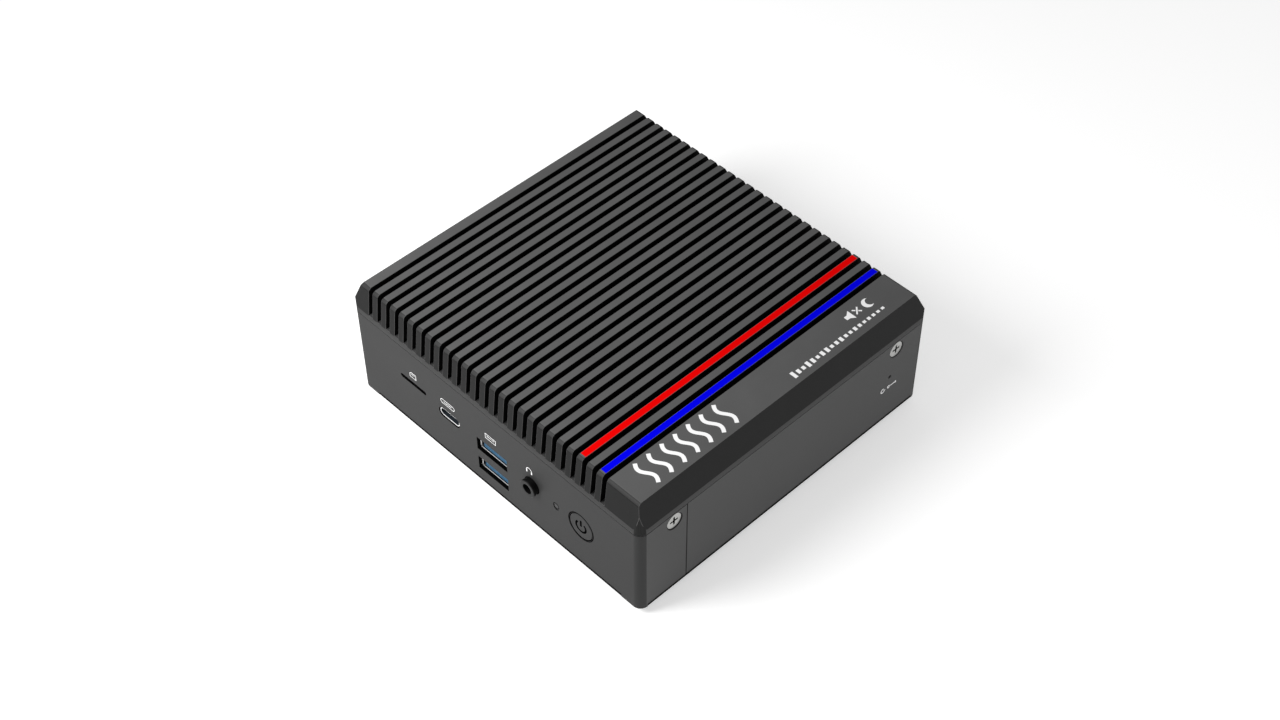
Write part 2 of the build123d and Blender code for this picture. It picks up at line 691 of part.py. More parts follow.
def cpu_heat_block():
    """A copper block bonded into a pocket under the lid."""
    bottom = BOARD_TOP + SUBSTRATE[2] + DIE[2] + PAD_SIZE[2]
    return slab((HEAT_BLOCK, HEAT_BLOCK, LID_UNDERSIDE + BLOCK_POCKET - bottom), bottom)


def power_chokes():
    made = []
    for x in CHOKE_X:
        for y in CHOKE_Y:
            core = slab(CHOKE, BOARD_TOP, x, y)
            core = chamfer(core.edges().filter_by(Axis.Z), CHOKE_LEAD)
            made.append(core)
    return group(made)


def power_stage_thermal_pad():
    return block(PEDESTAL_X, PEDESTAL_Y, (BOARD_TOP + CHOKE[2], PEDESTAL_BOTTOM))


def bulk_capacitors():
    """Metal-can capacitors on square plastic feet."""
    made = []
    for x, y in CAPACITOR_PLACES:
        foot = slab((2 * CAPACITOR_R, 2 * CAPACITOR_R, CAPACITOR_FOOT), BOARD_TOP, x, y)
        can = rod((x, y, BOARD_TOP), (0, 0, 1), CAPACITOR_TOP_R, CAPACITOR_HEIGHT)
        made.append(foot + fillet(can.edges().group_by(Axis.Z)[-1], CAPACITOR_EDGE))
    return group(made)


def support_chips():
    """Flat chips, each with a low ledge of leads round it."""
    made = []
    for x, y, width, depth, height in CHIPS:
        leads = slab((width + CHIP_LEG, depth + CHIP_LEG, CHIP_LEG_HEIGHT), BOARD_TOP, x, y)
        made.append(leads + slab((width, depth, height), BOARD_TOP, x, y))
    return group(made)


# ------------------------------------------------------- memory, storage, radio


def memory_module_z():
    return BOARD_UNDER - MODULE_DROP - MODULE_THICK, BOARD_UNDER - MODULE_DROP


def memory_socket():
    """A socket with a slot for the module's edge and two arms along its sides."""
    heights = (BOARD_UNDER - SOCKET_DROP, BOARD_UNDER)
    body = block((-SOCKET_X, SOCKET_X), SOCKET_Y, heights)
    for side in (-1, 1):
        arm = (side * (SOCKET_X - SOCKET_ARM + FIT_GAP), side * SOCKET_X)
        body += block(arm, (SOCKET_Y[1], SOCKET_ARM_END), heights)
    low, high = memory_module_z()
    slot = (MODULE_Y[0] - FIT_GAP, SOCKET_Y[1])
    half = MODULE_HALF + FIT_GAP / 2
    return body - block((-half, half), slot, (low - FIT_GAP, high + FIT_GAP))


def memory_module():
    low, high = memory_module_z()
    module = block((-MODULE_HALF, MODULE_HALF), MODULE_Y, (low, high))
    for x in MEMORY_CHIP_X:
        for y in MEMORY_CHIP_Y:
            module += slab(MEMORY_CHIP, low - MEMORY_CHIP[2], x, y)
    return module


def card_z(drop):
    return BOARD_UNDER - drop - CARD_THICK, BOARD_UNDER - drop


def ssd_connector():
    low, high = card_z(SSD_DROP)
    end = SSD_X[0] + CARD_TONGUE_SLOT
    body = block(
        (end - CARD_SOCKET_DEPTH, end), around(SSD_CENTRE_Y, CARD_WIDTH),
        (BOARD_UNDER - CARD_SOCKET_HEIGHT - CARD_THICK, BOARD_UNDER))
    slot = around(SSD_CENTRE_Y, CARD_WIDTH - 2 * WALL)
    return body - block((SSD_X[0] - FIT_GAP, end), slot, (low - FIT_GAP, high + FIT_GAP))


def ssd_module():
    low, high = card_z(SSD_DROP)
    tongue = (SSD_X[0], SSD_X[0] + CARD_TONGUE_SLOT)
    board = block((tongue[1] + FIT_GAP, SSD_X[1]), around(SSD_CENTRE_Y, CARD_WIDTH), (low, high))
    edge = around(SSD_CENTRE_Y, CARD_WIDTH - 2 * WALL - 2 * FIT_GAP)
    board += block((tongue[0], tongue[1] + FIT_GAP), edge, (low, high))
    for x in SSD_CHIP_X:
        board += slab(SSD_CHIP, low - SSD_CHIP[2], x, SSD_CENTRE_Y)
    return board - rod((SSD_X[1], SSD_CENTRE_Y, low), (0, 0, 1), CARD_HOLE_R, CARD_THICK)


def wifi_connector():
    end = WIFI_Y[1] - CARD_TONGUE_SLOT
    low = BOARD_TOP + WIFI_RISE
    body = block(
        around(WIFI_CENTRE_X, CARD_WIDTH), (end, end + CARD_SOCKET_DEPTH),
        (BOARD_TOP, BOARD_TOP + CARD_SOCKET_HEIGHT))
    slot = around(WIFI_CENTRE_X, CARD_WIDTH - 2 * WALL)
    return body - block(slot, (end, WIFI_Y[1] + FIT_GAP), (low - FIT_GAP, low + CARD_THICK + FIT_GAP))


def wifi_card():
    low = BOARD_TOP + WIFI_RISE
    high = low + CARD_THICK
    start = WIFI_Y[1] - CARD_TONGUE_SLOT - FIT_GAP
    card = block(around(WIFI_CENTRE_X, CARD_WIDTH), (WIFI_Y[0], start), (low, high))
    tongue_width = CARD_WIDTH - 2 * WALL - 2 * FIT_GAP
    card += block(around(WIFI_CENTRE_X, tongue_width), (start, WIFI_Y[1]), (low, high))
    card += slab(WIFI_CAN, high, WIFI_CENTRE_X, WIFI_CAN_Y)
    for x in WIFI_SOCKET_X:
        card += rod((x, WIFI_SOCKET_Y, high), (0, 0, 1), WIFI_SOCKET_R, WIFI_SOCKET_HEIGHT)
    return card - rod((WIFI_CENTRE_X, WIFI_Y[0], low), (0, 0, 1), CARD_HOLE_R, CARD_THICK)


def module_standoffs():
    """Threaded pillars that hold the far ends of the storage and radio cards."""
    ssd = rod((SSD_X[1], SSD_CENTRE_Y, BOARD_UNDER - SSD_DROP), (0, 0, 1), STANDOFF_R, SSD_DROP)
    ssd -= rod((SSD_X[1], SSD_CENTRE_Y, BOARD_UNDER - SSD_DROP), (0, 0, 1), STANDOFF_HOLE_R, SSD_DROP)
    wifi = rod((WIFI_CENTRE_X, WIFI_Y[0], BOARD_TOP), (0, 0, 1), STANDOFF_R, WIFI_RISE)
    wifi -= rod((WIFI_CENTRE_X, WIFI_Y[0], BOARD_TOP), (0, 0, 1), STANDOFF_HOLE_R, WIFI_RISE)
    return group([ssd, wifi])


def module_screws():
    ssd_start = BOARD_UNDER - SSD_DROP - CARD_THICK - CARD_HEAD
    wifi_start = BOARD_TOP + WIFI_RISE + CARD_THICK + CARD_HEAD
    length = CARD_THICK + WIFI_RISE - FIT_GAP
    head = (CARD_HEAD_R, CARD_HEAD, CARD_SCREW_R, length)
    return group([
        pan_screw((SSD_X[1], SSD_CENTRE_Y, ssd_start), (0, 0, 1), *head),
        pan_screw((WIFI_CENTRE_X, WIFI_Y[0], wifi_start), (0, 0, -1), *head),
    ])


def antenna(side):
    """A flexible foil antenna stuck behind the front wall, left (-1) or right (1)."""
    return block(
        (side * ANTENNA_X[0], side * ANTENNA_X[1]), (INNER_FRONT, INNER_FRONT + ANTENNA_THICK), ANTENNA_Z)


def antenna_cable(socket_x, points):
    """A thin coaxial cable from its snap-on plug on the radio card to an antenna."""
    card_top = BOARD_TOP + WIFI_RISE + CARD_THICK + WIFI_SOCKET_HEIGHT
    plug = rod((socket_x, WIFI_SOCKET_Y, card_top), (0, 0, 1), CABLE_PLUG_R, CABLE_PLUG_HEIGHT)
    path = FilletPolyline(*points, radius=CABLE_BEND)
    section = Plane(origin=path @ 0, z_dir=path % 0) * Circle(CABLE_R)
    return plug + sweep(section, path=path)


def cable_height():
    """The middle of the snap-on plugs on the radio card."""
    return BOARD_TOP + WIFI_RISE + CARD_THICK + WIFI_SOCKET_HEIGHT + CABLE_PLUG_HEIGHT / 2


def cable_ends(socket_x, antenna_x):
    """A route's first two points, off the card, and its last two, onto the antenna."""
    high = cable_height()
    middle = sum(ANTENNA_Z) / 2
    off = [(socket_x, WIFI_SOCKET_Y, high), (socket_x, WIFI_Y[0] - WALL, high)]
    onto = [(antenna_x, CABLE_LANE_Y, middle), (antenna_x, INNER_FRONT + ANTENNA_THICK, middle)]
    return off, onto


def antenna_cable_left():
    off, onto = cable_ends(WIFI_SOCKET_X[0], -sum(ANTENNA_X) / 2)
    return antenna_cable(WIFI_SOCKET_X[0], off + onto)


def antenna_cable_right():
    """The longer cable drops to the board and runs along its front edge."""
    off, onto = cable_ends(WIFI_SOCKET_X[1], sum(ANTENNA_X) / 2)
    lane = [(x, CABLE_LANE_Y, CABLE_LOW) for x in CABLE_LANE_X]
    return antenna_cable(WIFI_SOCKET_X[1], off + lane + onto)


def coin_cell():
    top = BOARD_UNDER - HOLDER_FLOOR
    return rod((CELL_X, CELL_Y, top), (0, 0, -1), CELL_R, CELL_THICK)


def coin_cell_holder():
    """A round plastic cup, open below, with a finger slot in its wall."""
    outer = CELL_R + HOLDER_WALL
    cup = rod((CELL_X, CELL_Y, BOARD_UNDER), (0, 0, -1), outer, HOLDER_FLOOR + CELL_THICK - FIT_GAP)
    top = BOARD_UNDER - HOLDER_FLOOR
    cup -= rod((CELL_X, CELL_Y, top), (0, 0, -1), CELL_R + FIT_GAP, CELL_THICK)
    return cup - block(around(CELL_X, HOLDER_SLOT), (CELL_Y, CELL_Y + outer), (top - CELL_THICK, top))


# --------------------------------------------------------------- stacked USB-A


def usb_cage(x, mouth, inward):
    """A folded steel cage with two sockets, one over the other."""
    end = mouth + inward * USB_CAGE_DEPTH
    cage = block(around(x, USB_CAGE_WIDTH), (mouth, end), (USB_CAGE_BOTTOM, BOARD_UNDER))
    for z in USB_HEIGHTS:
        cavity = (mouth, mouth + inward * USB_CAVITY)
        cage -= block(around(x, USB_MOUTH[0]), cavity, around(z, USB_MOUTH[1]))
    core = (end, end - inward * (USB_CAGE_DEPTH - USB_CAVITY))
    core_z = (USB_HEIGHTS[0] - USB_MOUTH[1] / 2, USB_HEIGHTS[1] + USB_MOUTH[1] / 2)
    return cage - block(around(x, USB_MOUTH[0]), core, core_z)


def usb_insulator(x, mouth, inward, rise, length):
    """The moulding at the back of the cage, with a tongue in each socket."""
    end = mouth + inward * USB_CAGE_DEPTH
    start = mouth + inward * USB_CAVITY
    core_z = (USB_HEIGHTS[0] - USB_MOUTH[1] / 2, USB_HEIGHTS[1] + USB_MOUTH[1] / 2)
    core = block(around(x, USB_MOUTH[0]), (start, end), core_z)
    for z in USB_HEIGHTS:
        reach = (start, start - inward * length)
        core += block(around(x, USB_TONGUE[0]), reach, around(z + rise, USB_TONGUE[1]))
    return core


def usb_front_contacts():
    """Four spring strips on top of each tongue: the front sockets are mounted upside down."""
    start = FRONT + FRONT_USB_SUNK + USB_CAVITY - FRONT_TONGUE_LENGTH + FRONT_PIN_INSET
    made = []
    for z in USB_HEIGHTS:
        over = z - USB_TONGUE_RISE + USB_TONGUE[1] / 2
        for index in range(USB_PINS):
            x = USB_X + (index - (USB_PINS - 1) / 2) * USB_PIN_PITCH
            along = (start, start + USB_PIN[1])
            made.append(block(around(x, USB_PIN[0]), along, (over, over + USB_PIN[2])))
    return group(made)


# ---------------------------------------------------------- other front sockets


def usb_c_shell():
    """A drawn steel tube with round ends, on a seat under the board."""
    mouth = FRONT + USB_C_SUNK
    depth = (mouth, mouth + USB_C_DEPTH)
    tube = pill(USB_C_X, USB_C_Z, USB_C_SHELL, depth)
    seat = (mouth + USB_C_SEAT, mouth + USB_C_DEPTH)
    tube += block(around(USB_C_X, USB_C_SHELL[0] - 2 * WALL), seat, (USB_C_Z, BOARD_UNDER))
    bore = [size - 2 * USB_C_SKIN for size in USB_C_SHELL]
    return tube - pill(USB_C_X, USB_C_Z, bore, depth)


def usb_c_tongue():
    end = FRONT + USB_C_SUNK + USB_C_DEPTH
    root = end - (USB_C_DEPTH - USB_C_TONGUE[1]) / 2
    bore = [size - 2 * USB_C_SKIN for size in USB_C_SHELL]
    plug = pill(USB_C_X, USB_C_Z, bore, (root, end))
    reach = (root - USB_C_TONGUE[1], root)
    return plug + block(around(USB_C_X, USB_C_TONGUE[0]), reach, around(USB_C_Z, USB_C_TONGUE[2]))


def card_slot_shell():
    """A flat steel cage under the board, open at the front for a memory card."""
    cage = block(
        around(CARD_X, CARD_CAGE[0]), (INNER_FRONT, INNER_FRONT + CARD_CAGE[1]),
        (CARD_CAGE_BOTTOM, BOARD_UNDER))
    cavity = (INNER_FRONT, INNER_FRONT + CARD_CAVITY[1])
    return cage - block(around(CARD_X, CARD_CAVITY[0]), cavity, around(CARD_Z, CARD_CAVITY[2]))


def card_slot_slider():
    """The ejector slider along the cage's left side, with a catch across the card's path."""
    left = CARD_X - CARD_CAVITY[0] / 2 + SLIDER_GAP
    start = INNER_FRONT + SLIDER_START
    heights = around(CARD_Z, SLIDER[2])
    slider = block((left, left + SLIDER[0]), (start, start + SLIDER[1]), heights)
    catch_y = (start + SLIDER[1] - SLIDER_CATCH[1], start + SLIDER[1])
    return slider + block((left, left + SLIDER[0] + SLIDER_CATCH[0]), catch_y, heights)


def audio_jack_body():
    """A plastic block under the board, with a round barrel through the front wall."""
    lip_front = FRONT - JACK_PROUD
    body_y = (INNER_FRONT, INNER_FRONT + JACK_BODY[1])
    body = block(around(JACK_X, JACK_BODY[0]), body_y, (BOARD_UNDER - JACK_BODY[2], BOARD_UNDER))
    body += rod((JACK_X, lip_front, JACK_Z), (0, 1, 0), JACK_BARREL_R, JACK_PROUD + WALL)
    lip = rod((JACK_X, lip_front, JACK_Z), (0, 1, 0), JACK_LIP_R, JACK_LIP)
    body += chamfer(lip.edges().group_by(Axis.Y)[0], JACK_LIP_CHAMFER)
    body -= rod((JACK_X, lip_front, JACK_Z), (0, 1, 0), JACK_BORE_R, JACK_BORE_DEPTH)
    key_x = (JACK_X, JACK_X + JACK_BORE_R + JACK_KEY[1])
    key_y = (lip_front + JACK_SPRING_START, lip_front + JACK_BORE_DEPTH)
    return body - block(key_x, key_y, around(JACK_Z, JACK_KEY[0]))


def audio_jack_contacts():
    """A spring strip in the keyway beside the bore."""
    y = (FRONT - JACK_PROUD + JACK_SPRING_START + FIT_GAP, FRONT - JACK_PROUD + JACK_BORE_DEPTH)
    x = (JACK_X + JACK_SPRING_TIP, JACK_X + JACK_BORE_R + JACK_KEY[1] - FIT_GAP)
    return block(x, y, around(JACK_Z, JACK_KEY[0] - 2 * FIT_GAP))


# ---------------------------------------------------------------- rear sockets


def hdmi_mouth(x, y, size, notch):
    """The socket's opening: a rectangle with its two lower corners cut back."""
    half, tall = size[0] / 2, size[1] / 2
    outline = Polygon(
        (half, tall), (-half, tall), (-half, notch[1] - tall), (notch[0] - half, -tall),
        (half - notch[0], -tall), (half, notch[1] - tall), align=None)
    return extrude(Plane(origin=(x, y, HDMI_Z), x_dir=(1, 0, 0), z_dir=(0, -1, 0)) * outline, HDMI_CAVITY)


def hdmi_shell(x):
    mouth = BACK - REAR_SUNK
    body = block(around(x, HDMI_SHELL[0]), (mouth - HDMI_DEPTH, mouth), around(HDMI_Z, HDMI_SHELL[1]))
    return body - hdmi_mouth(x, mouth, HDMI_MOUTH, HDMI_NOTCH)


def hdmi_tongue(x):
    root = BACK - REAR_SUNK - HDMI_CAVITY
    return block(around(x, HDMI_TONGUE[0]), (root, root + HDMI_TONGUE[1]), around(HDMI_Z, HDMI_TONGUE[2]))


def network_mouth(skin, reach):
    """The plug's opening with the channel for its latch below it."""
    width, height = NETWORK_MOUTH
    z = NETWORK_MOUTH_Z
    space = block(around(NETWORK_X, width + skin), reach, (z - skin / 2, z + height + skin / 2))
    latch = (z - NETWORK_LATCH[1] - skin / 2, z)
    return space + block(around(NETWORK_X, NETWORK_LATCH[0] + skin), reach, latch)


def network_jack_shell():
    """The steel cage round the network socket."""
    mouth = BACK - REAR_SUNK
    end = mouth - NETWORK_SHELL[1]
    cage = block(around(NETWORK_X, NETWORK_SHELL[0]), (end, mouth), (NETWORK_BOTTOM, BOARD_UNDER))
    inner = around(NETWORK_X, NETWORK_SHELL[0] - 2 * NETWORK_SKIN)
    heights = (NETWORK_BOTTOM + NETWORK_SKIN, BOARD_UNDER - NETWORK_SKIN)
    return cage - block(inner, (end + NETWORK_SKIN, mouth), heights)


def network_jack_insert():
    """The plastic socket inside the cage, with eight contact wires along its roof."""
    mouth = BACK - REAR_SUNK
    end = mouth - NETWORK_SHELL[1] + NETWORK_SKIN
    inner = around(NETWORK_X, NETWORK_SHELL[0] - 2 * NETWORK_SKIN)
    heights = (NETWORK_BOTTOM + NETWORK_SKIN, BOARD_UNDER - NETWORK_SKIN)
    core = block(inner, (end, mouth - REAR_SUNK), heights)
    core -= network_mouth(0, (mouth - NETWORK_CAVITY, mouth))
    roof_z = NETWORK_MOUTH_Z + NETWORK_MOUTH[1]
    deep = mouth - NETWORK_CAVITY
    for index in range(NETWORK_PINS):
        x = NETWORK_X + (index - (NETWORK_PINS - 1) / 2) * NETWORK_PIN_PITCH
        along = (deep, deep + NETWORK_PIN[1])
        core += block(around(x, NETWORK_PIN[0]), along, (roof_z - NETWORK_PIN[2], roof_z))
    return core


def dc_jack_body():
    """The power socket: a plastic block with a round well for the plug."""
    front = INNER_BACK - FIT_GAP
    body = block(
        around(POWER_X, POWER_BODY[0]), (front - POWER_BODY[1], front),
        (BOARD_UNDER - POWER_BODY[2], BOARD_UNDER))
    body -= rod((POWER_X, front, POWER_Z), (0, -1, 0), POWER_BORE_R, POWER_BORE_DEPTH)
    root = front - POWER_BORE_DEPTH
    return body - rod((POWER_X, root, POWER_Z), (0, -1, 0), POWER_PIN_ROOT_R, POWER_PIN_ROOT)


def dc_jack_pin():
    """The socket's centre pin, on a wider root that is pressed into the block."""
    root = INNER_BACK - FIT_GAP - POWER_BORE_DEPTH
    pin = rod((POWER_X, root, POWER_Z), (0, 1, 0), POWER_PIN_R, POWER_PIN_LENGTH)
    pin = fillet(pin.edges().group_by(Axis.Y)[-1], POWER_PIN_TIP_EDGE)
    return pin + rod((POWER_X, root, POWER_Z), (0, -1, 0), POWER_PIN_ROOT_R, POWER_PIN_ROOT)


def pieces():
    """Every piece by its node name."""
    front_mouth = FRONT + FRONT_USB_SUNK
    rear_mouth = BACK - USB_SUNK
    made = {
        "heatsink_cover": heatsink_cover(),
        "front_frame": front_frame(),
        "rear_frame": rear_frame(),
        "base_cover": base_cover(),
        "side_screws": side_screws(),
        "base_screws": base_screws(),
        "mounting_inserts": mounting_inserts(),
        "status_light_pipe": status_light_pipe(),
        "status_led": status_led(),
        "power_button": power_button(),
        "power_switch_body": power_switch_body(),
        "power_switch_plunger": power_switch_plunger(),
        "reset_switch_body": reset_switch_body(),
        "reset_switch_plunger": reset_switch_plunger(),
        "mainboard": mainboard(),
        "mainboard_screws": mainboard_screws(),
        "processor": processor(),
        "cpu_thermal_pad": cpu_thermal_pad(),
        "cpu_heat_block": cpu_heat_block(),
        "power_chokes": power_chokes(),
        "power_stage_thermal_pad": power_stage_thermal_pad(),
        "bulk_capacitors": bulk_capacitors(),
        "support_chips": support_chips(),
        "memory_socket": memory_socket(),
        "memory_module": memory_module(),
        "ssd_connector": ssd_connector(),
        "ssd_module": ssd_module(),
        "wifi_connector": wifi_connector(),
        "wifi_card": wifi_card(),
        "module_standoffs": module_standoffs(),
        "module_screws": module_screws(),
        "antenna_left": antenna(-1),
        "antenna_right": antenna(1),
        "antenna_cable_left": antenna_cable_left(),
        "antenna_cable_right": antenna_cable_right(),
        "coin_cell": coin_cell(),
        "coin_cell_holder": coin_cell_holder(),
        "usb_front_shell": usb_cage(USB_X, front_mouth, 1),
        "usb_front_insulator": usb_insulator(
            USB_X, front_mouth, 1, -USB_TONGUE_RISE, FRONT_TONGUE_LENGTH),
        "usb_front_contacts": usb_front_contacts(),
        "usb_rear_shell": usb_cage(REAR_USB_X, rear_mouth, -1),
        "usb_rear_insulator": usb_insulator(
            REAR_USB_X, rear_mouth, -1, USB_TONGUE_RISE, REAR_TONGUE_LENGTH),
        "usb_c_shell": usb_c_shell(),
        "usb_c_tongue": usb_c_tongue(),
        "card_slot_shell": card_slot_shell(),
        "card_slot_slider": card_slot_slider(),
        "audio_jack_body": audio_jack_body(),
        "audio_jack_contacts": audio_jack_contacts(),
        "network_jack_shell": network_jack_shell(),
        "network_jack_insert": network_jack_insert(),
        "dc_jack_body": dc_jack_body(),
        "dc_jack_pin": dc_jack_pin(),
    }
    for side, x in zip(("left", "right"), HDMI_X):
        made[f"hdmi_{side}_shell"] = hdmi_shell(x)
        made[f"hdmi_{side}_tongue"] = hdmi_tongue(x)
    made.update(feet())
    return made


os.makedirs("parts", exist_ok=True)
for name, piece in pieces().items():
    export_step(group([piece]), f"parts/{name}.step")
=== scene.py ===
import json
import math

import bmesh
import bpy
from mathutils import Matrix, Vector

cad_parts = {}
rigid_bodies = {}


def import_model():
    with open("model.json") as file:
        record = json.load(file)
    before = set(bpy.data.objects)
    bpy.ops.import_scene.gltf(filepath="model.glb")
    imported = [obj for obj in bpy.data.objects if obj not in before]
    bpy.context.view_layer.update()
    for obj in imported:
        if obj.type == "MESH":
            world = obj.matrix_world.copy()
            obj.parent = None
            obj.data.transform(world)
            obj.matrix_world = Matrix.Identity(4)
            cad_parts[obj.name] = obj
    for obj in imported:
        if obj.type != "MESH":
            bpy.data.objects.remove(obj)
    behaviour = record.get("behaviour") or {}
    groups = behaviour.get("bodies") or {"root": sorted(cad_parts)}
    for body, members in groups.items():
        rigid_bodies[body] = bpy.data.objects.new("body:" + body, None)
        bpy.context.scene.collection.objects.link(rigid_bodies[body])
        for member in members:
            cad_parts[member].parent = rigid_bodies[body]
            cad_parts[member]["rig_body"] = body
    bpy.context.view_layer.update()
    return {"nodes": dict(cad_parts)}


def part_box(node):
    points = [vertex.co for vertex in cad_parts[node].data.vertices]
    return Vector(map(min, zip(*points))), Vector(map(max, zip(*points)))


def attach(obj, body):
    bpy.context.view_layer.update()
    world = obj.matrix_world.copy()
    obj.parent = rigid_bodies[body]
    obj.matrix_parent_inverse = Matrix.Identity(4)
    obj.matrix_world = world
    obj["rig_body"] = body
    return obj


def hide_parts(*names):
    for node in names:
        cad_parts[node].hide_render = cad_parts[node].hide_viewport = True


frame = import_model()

# Looks for a small fanless computer: a finned aluminium lid on a two-part case.
# Lengths in the constants are millimetres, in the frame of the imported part:
# X to the right, Y from front to back, Z up from the desk.

MM = 0.001
UP = Vector((0, 0, 1))
nodes = frame["nodes"]
BODY_OF = {n: o["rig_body"] for n, o in nodes.items()}

# ------------------------------------------------------------------ camera

CAMERA_TARGET = (1.87, -0.50, 17.99)
CAMERA_AZIMUTH = 45.974
CAMERA_ELEVATION = 46.902
CAMERA_ROLL = -0.273
CAMERA_DISTANCE = 637.4
CAMERA_LENS = 57.21
SENSOR_WIDTH = 36.0


def direction(azimuth, elevation):
    """From the object towards a viewer; azimuth 0 is in front and 90 to the right."""
    a, e = math.radians(azimuth), math.radians(elevation)
    return Vector((math.sin(a) * math.cos(e), -math.cos(a) * math.cos(e), math.sin(e)))


def make_camera():
    data = bpy.data.cameras.new("camera")
    data.lens = CAMERA_LENS
    data.sensor_width = SENSOR_WIDTH
    data.clip_start = 0.01
    data.clip_end = 20.0
    camera = bpy.data.objects.new("camera", data)
    bpy.context.scene.collection.objects.link(camera)
    back = direction(CAMERA_AZIMUTH, CAMERA_ELEVATION)
    across = back.cross(-UP).normalized()
    upward = back.cross(across)
    roll = math.radians(CAMERA_ROLL)
    across, upward = (
        across * math.cos(roll) + upward * math.sin(roll),
        upward * math.cos(roll) - across * math.sin(roll),
    )
    turn = Matrix((across, upward, back)).transposed().to_4x4()
    place = (Vector(CAMERA_TARGET) + back * CAMERA_DISTANCE) * MM
    camera.matrix_world = Matrix.Translation(place) @ turn
    bpy.context.scene.camera = camera


make_camera()

# --------------------------------------------------------------- materials


def linear(code):
    """A hexadecimal sRGB colour as linear red, green and blue."""
    values = [int(code[i:i + 2], 16) / 255 for i in (0, 2, 4)]
    return [v / 12.92 if v <= 0.04045 else ((v + 0.055) / 1.055) ** 2.4 for v in values]


class Finish:
    """A material under construction: its nodes, its links and its shader."""

    def __init__(self, name, metallic=0.0, specular=0.5, coat=0.0, coat_roughness=0.1):
        self.material = bpy.data.materials.new(name)
        self.material.use_nodes = True
        self.tree = self.material.node_tree
        self.shader = self.tree.nodes["Principled BSDF"]
        self.set("Metallic", metallic)
        self.set("Specular IOR Level", specular)
        self.set("Coat Weight", coat)
        self.set("Coat Roughness", coat_roughness)
        self.place = self.node("ShaderNodeTexCoord").outputs["Object"]

    def set(self, socket, value):
        self.shader.inputs[socket].default_value = value

    def node(self, kind, **settings):
        made = self.tree.nodes.new(kind)
        for key, value in settings.items():
            setattr(made, key, value)
        return made

    def link(self, output, socket):
        self.tree.links.new(output, socket)

    def stretched(self, scale):
        """Object coordinates stretched along some axes, for brushed or drawn surfaces."""
        mapping = self.node("ShaderNodeMapping")
        mapping.inputs["Scale"].default_value = scale
        self.link(self.place, mapping.inputs["Vector"])
        return mapping.outputs["Vector"]

    def noise(self, size, detail=2.0, roughness=0.5, vector=None):
        """Noise whose features are about size millimetres."""
        made = self.node("ShaderNodeTexNoise")
        made.inputs["Scale"].default_value = 1 / (size * MM)
        made.inputs["Detail"].default_value = detail
        made.inputs["Roughness"].default_value = roughness
        self.link(vector or self.place, made.inputs["Vector"])
        return made.outputs["Fac"]

    def math(self, operation, a, b):
        made = self.node("ShaderNodeMath", operation=operation)
        for socket, value in zip(made.inputs, (a, b)):
            if isinstance(value, (int, float)):
                socket.default_value = value
            else:
                self.link(value, socket)
        return made.outputs["Value"]

    def ramp(self, factor, low, high, colours):
        """Colours spread evenly from factor low to factor high."""
        made = self.node("ShaderNodeValToRGB")
        stops = made.color_ramp.elements
        while len(stops) < len(colours):
            stops.new(0.5)
        for index, colour in enumerate(colours):
            stops[index].position = low + (high - low) * index / (len(colours) - 1)
            stops[index].color = (*colour, 1)
        self.link(factor, made.inputs["Fac"])
        return made.outputs["Color"]

    def spread(self, factor, low, high, start=0.3, end=0.7):
        """factor from start to end, as a value from low to high."""
        made = self.node("ShaderNodeMapRange")
        for socket, value in (("From Min", start), ("From Max", end), ("To Min", low), ("To Max", high)):
            made.inputs[socket].default_value = value
        self.link(factor, made.inputs["Value"])
        return made.outputs["Result"]

    def colour(self, output):
        self.link(output, self.shader.inputs["Base Color"])

    def roughness(self, output):
        self.link(output, self.shader.inputs["Roughness"])

    def relief(self, height, depth):
        """Bump from a height field; depth is the height of a full step in millimetres."""
        bump = self.node("ShaderNodeBump")
        bump.inputs["Strength"].default_value = 1.0
        bump.inputs["Distance"].default_value = depth * MM
        self.link(height, bump.inputs["Height"])
        self.link(bump.outputs["Normal"], self.shader.inputs["Normal"])


def shades(colour, shift):
    """A colour darkened and lightened by a share of itself."""
    return [[min(1, c * (1 + s)) for c in colour] for s in (-shift, 0, shift)]


PATCH = 14.0


def blasted(name, code, metallic, roughness, grain=0.22, depth=0.006, shift=0.10, specular=0.5):
    """A bead-blasted or moulded surface: fine grain over slow, faint colour changes."""
    made = Finish(name, metallic=metallic, specular=specular)
    fine = made.noise(grain, detail=3.0, roughness=0.6)
    slow = made.noise(PATCH, detail=2.0)
    mixed = made.math("ADD", made.math("MULTIPLY", fine, 0.6), made.math("MULTIPLY", slow, 0.4))
    made.colour(made.ramp(mixed, 0.3, 0.7, shades(linear(code), shift)))
    made.roughness(made.spread(mixed, roughness - 0.05, roughness + 0.05))
    made.relief(fine, depth)
    return made.material


def brushed(name, code, roughness, along, streak=0.12, depth=0.002, shift=0.12):
    """Metal drawn or brushed in one direction."""
    made = Finish(name, metallic=1.0)
    scale = [0.03 if axis == along else 1.0 for axis in "XYZ"]
    vector = made.stretched(scale)
    lines = made.noise(streak, detail=3.0, roughness=0.65, vector=vector)
    cloud = made.noise(3.0, detail=2.0)
    mixed = made.math("ADD", made.math("MULTIPLY", lines, 0.7), made.math("MULTIPLY", cloud, 0.3))
    made.colour(made.ramp(mixed, 0.3, 0.7, shades(linear(code), shift)))
    made.roughness(made.spread(mixed, roughness - 0.08, roughness + 0.10))
    made.relief(lines, depth)
    return made.material


def rubber(name, code):
    made = Finish(name, specular=0.35)
    pores = made.noise(0.16, detail=4.0, roughness=0.7)
    dust = made.noise(2.4, detail=4.0, roughness=0.6)
    made.colour(made.ramp(dust, 0.35, 0.75, shades(linear(code), 0.25)))
    made.roughness(made.spread(dust, 0.68, 0.88))
    made.relief(pores, 0.02)
    return made.material


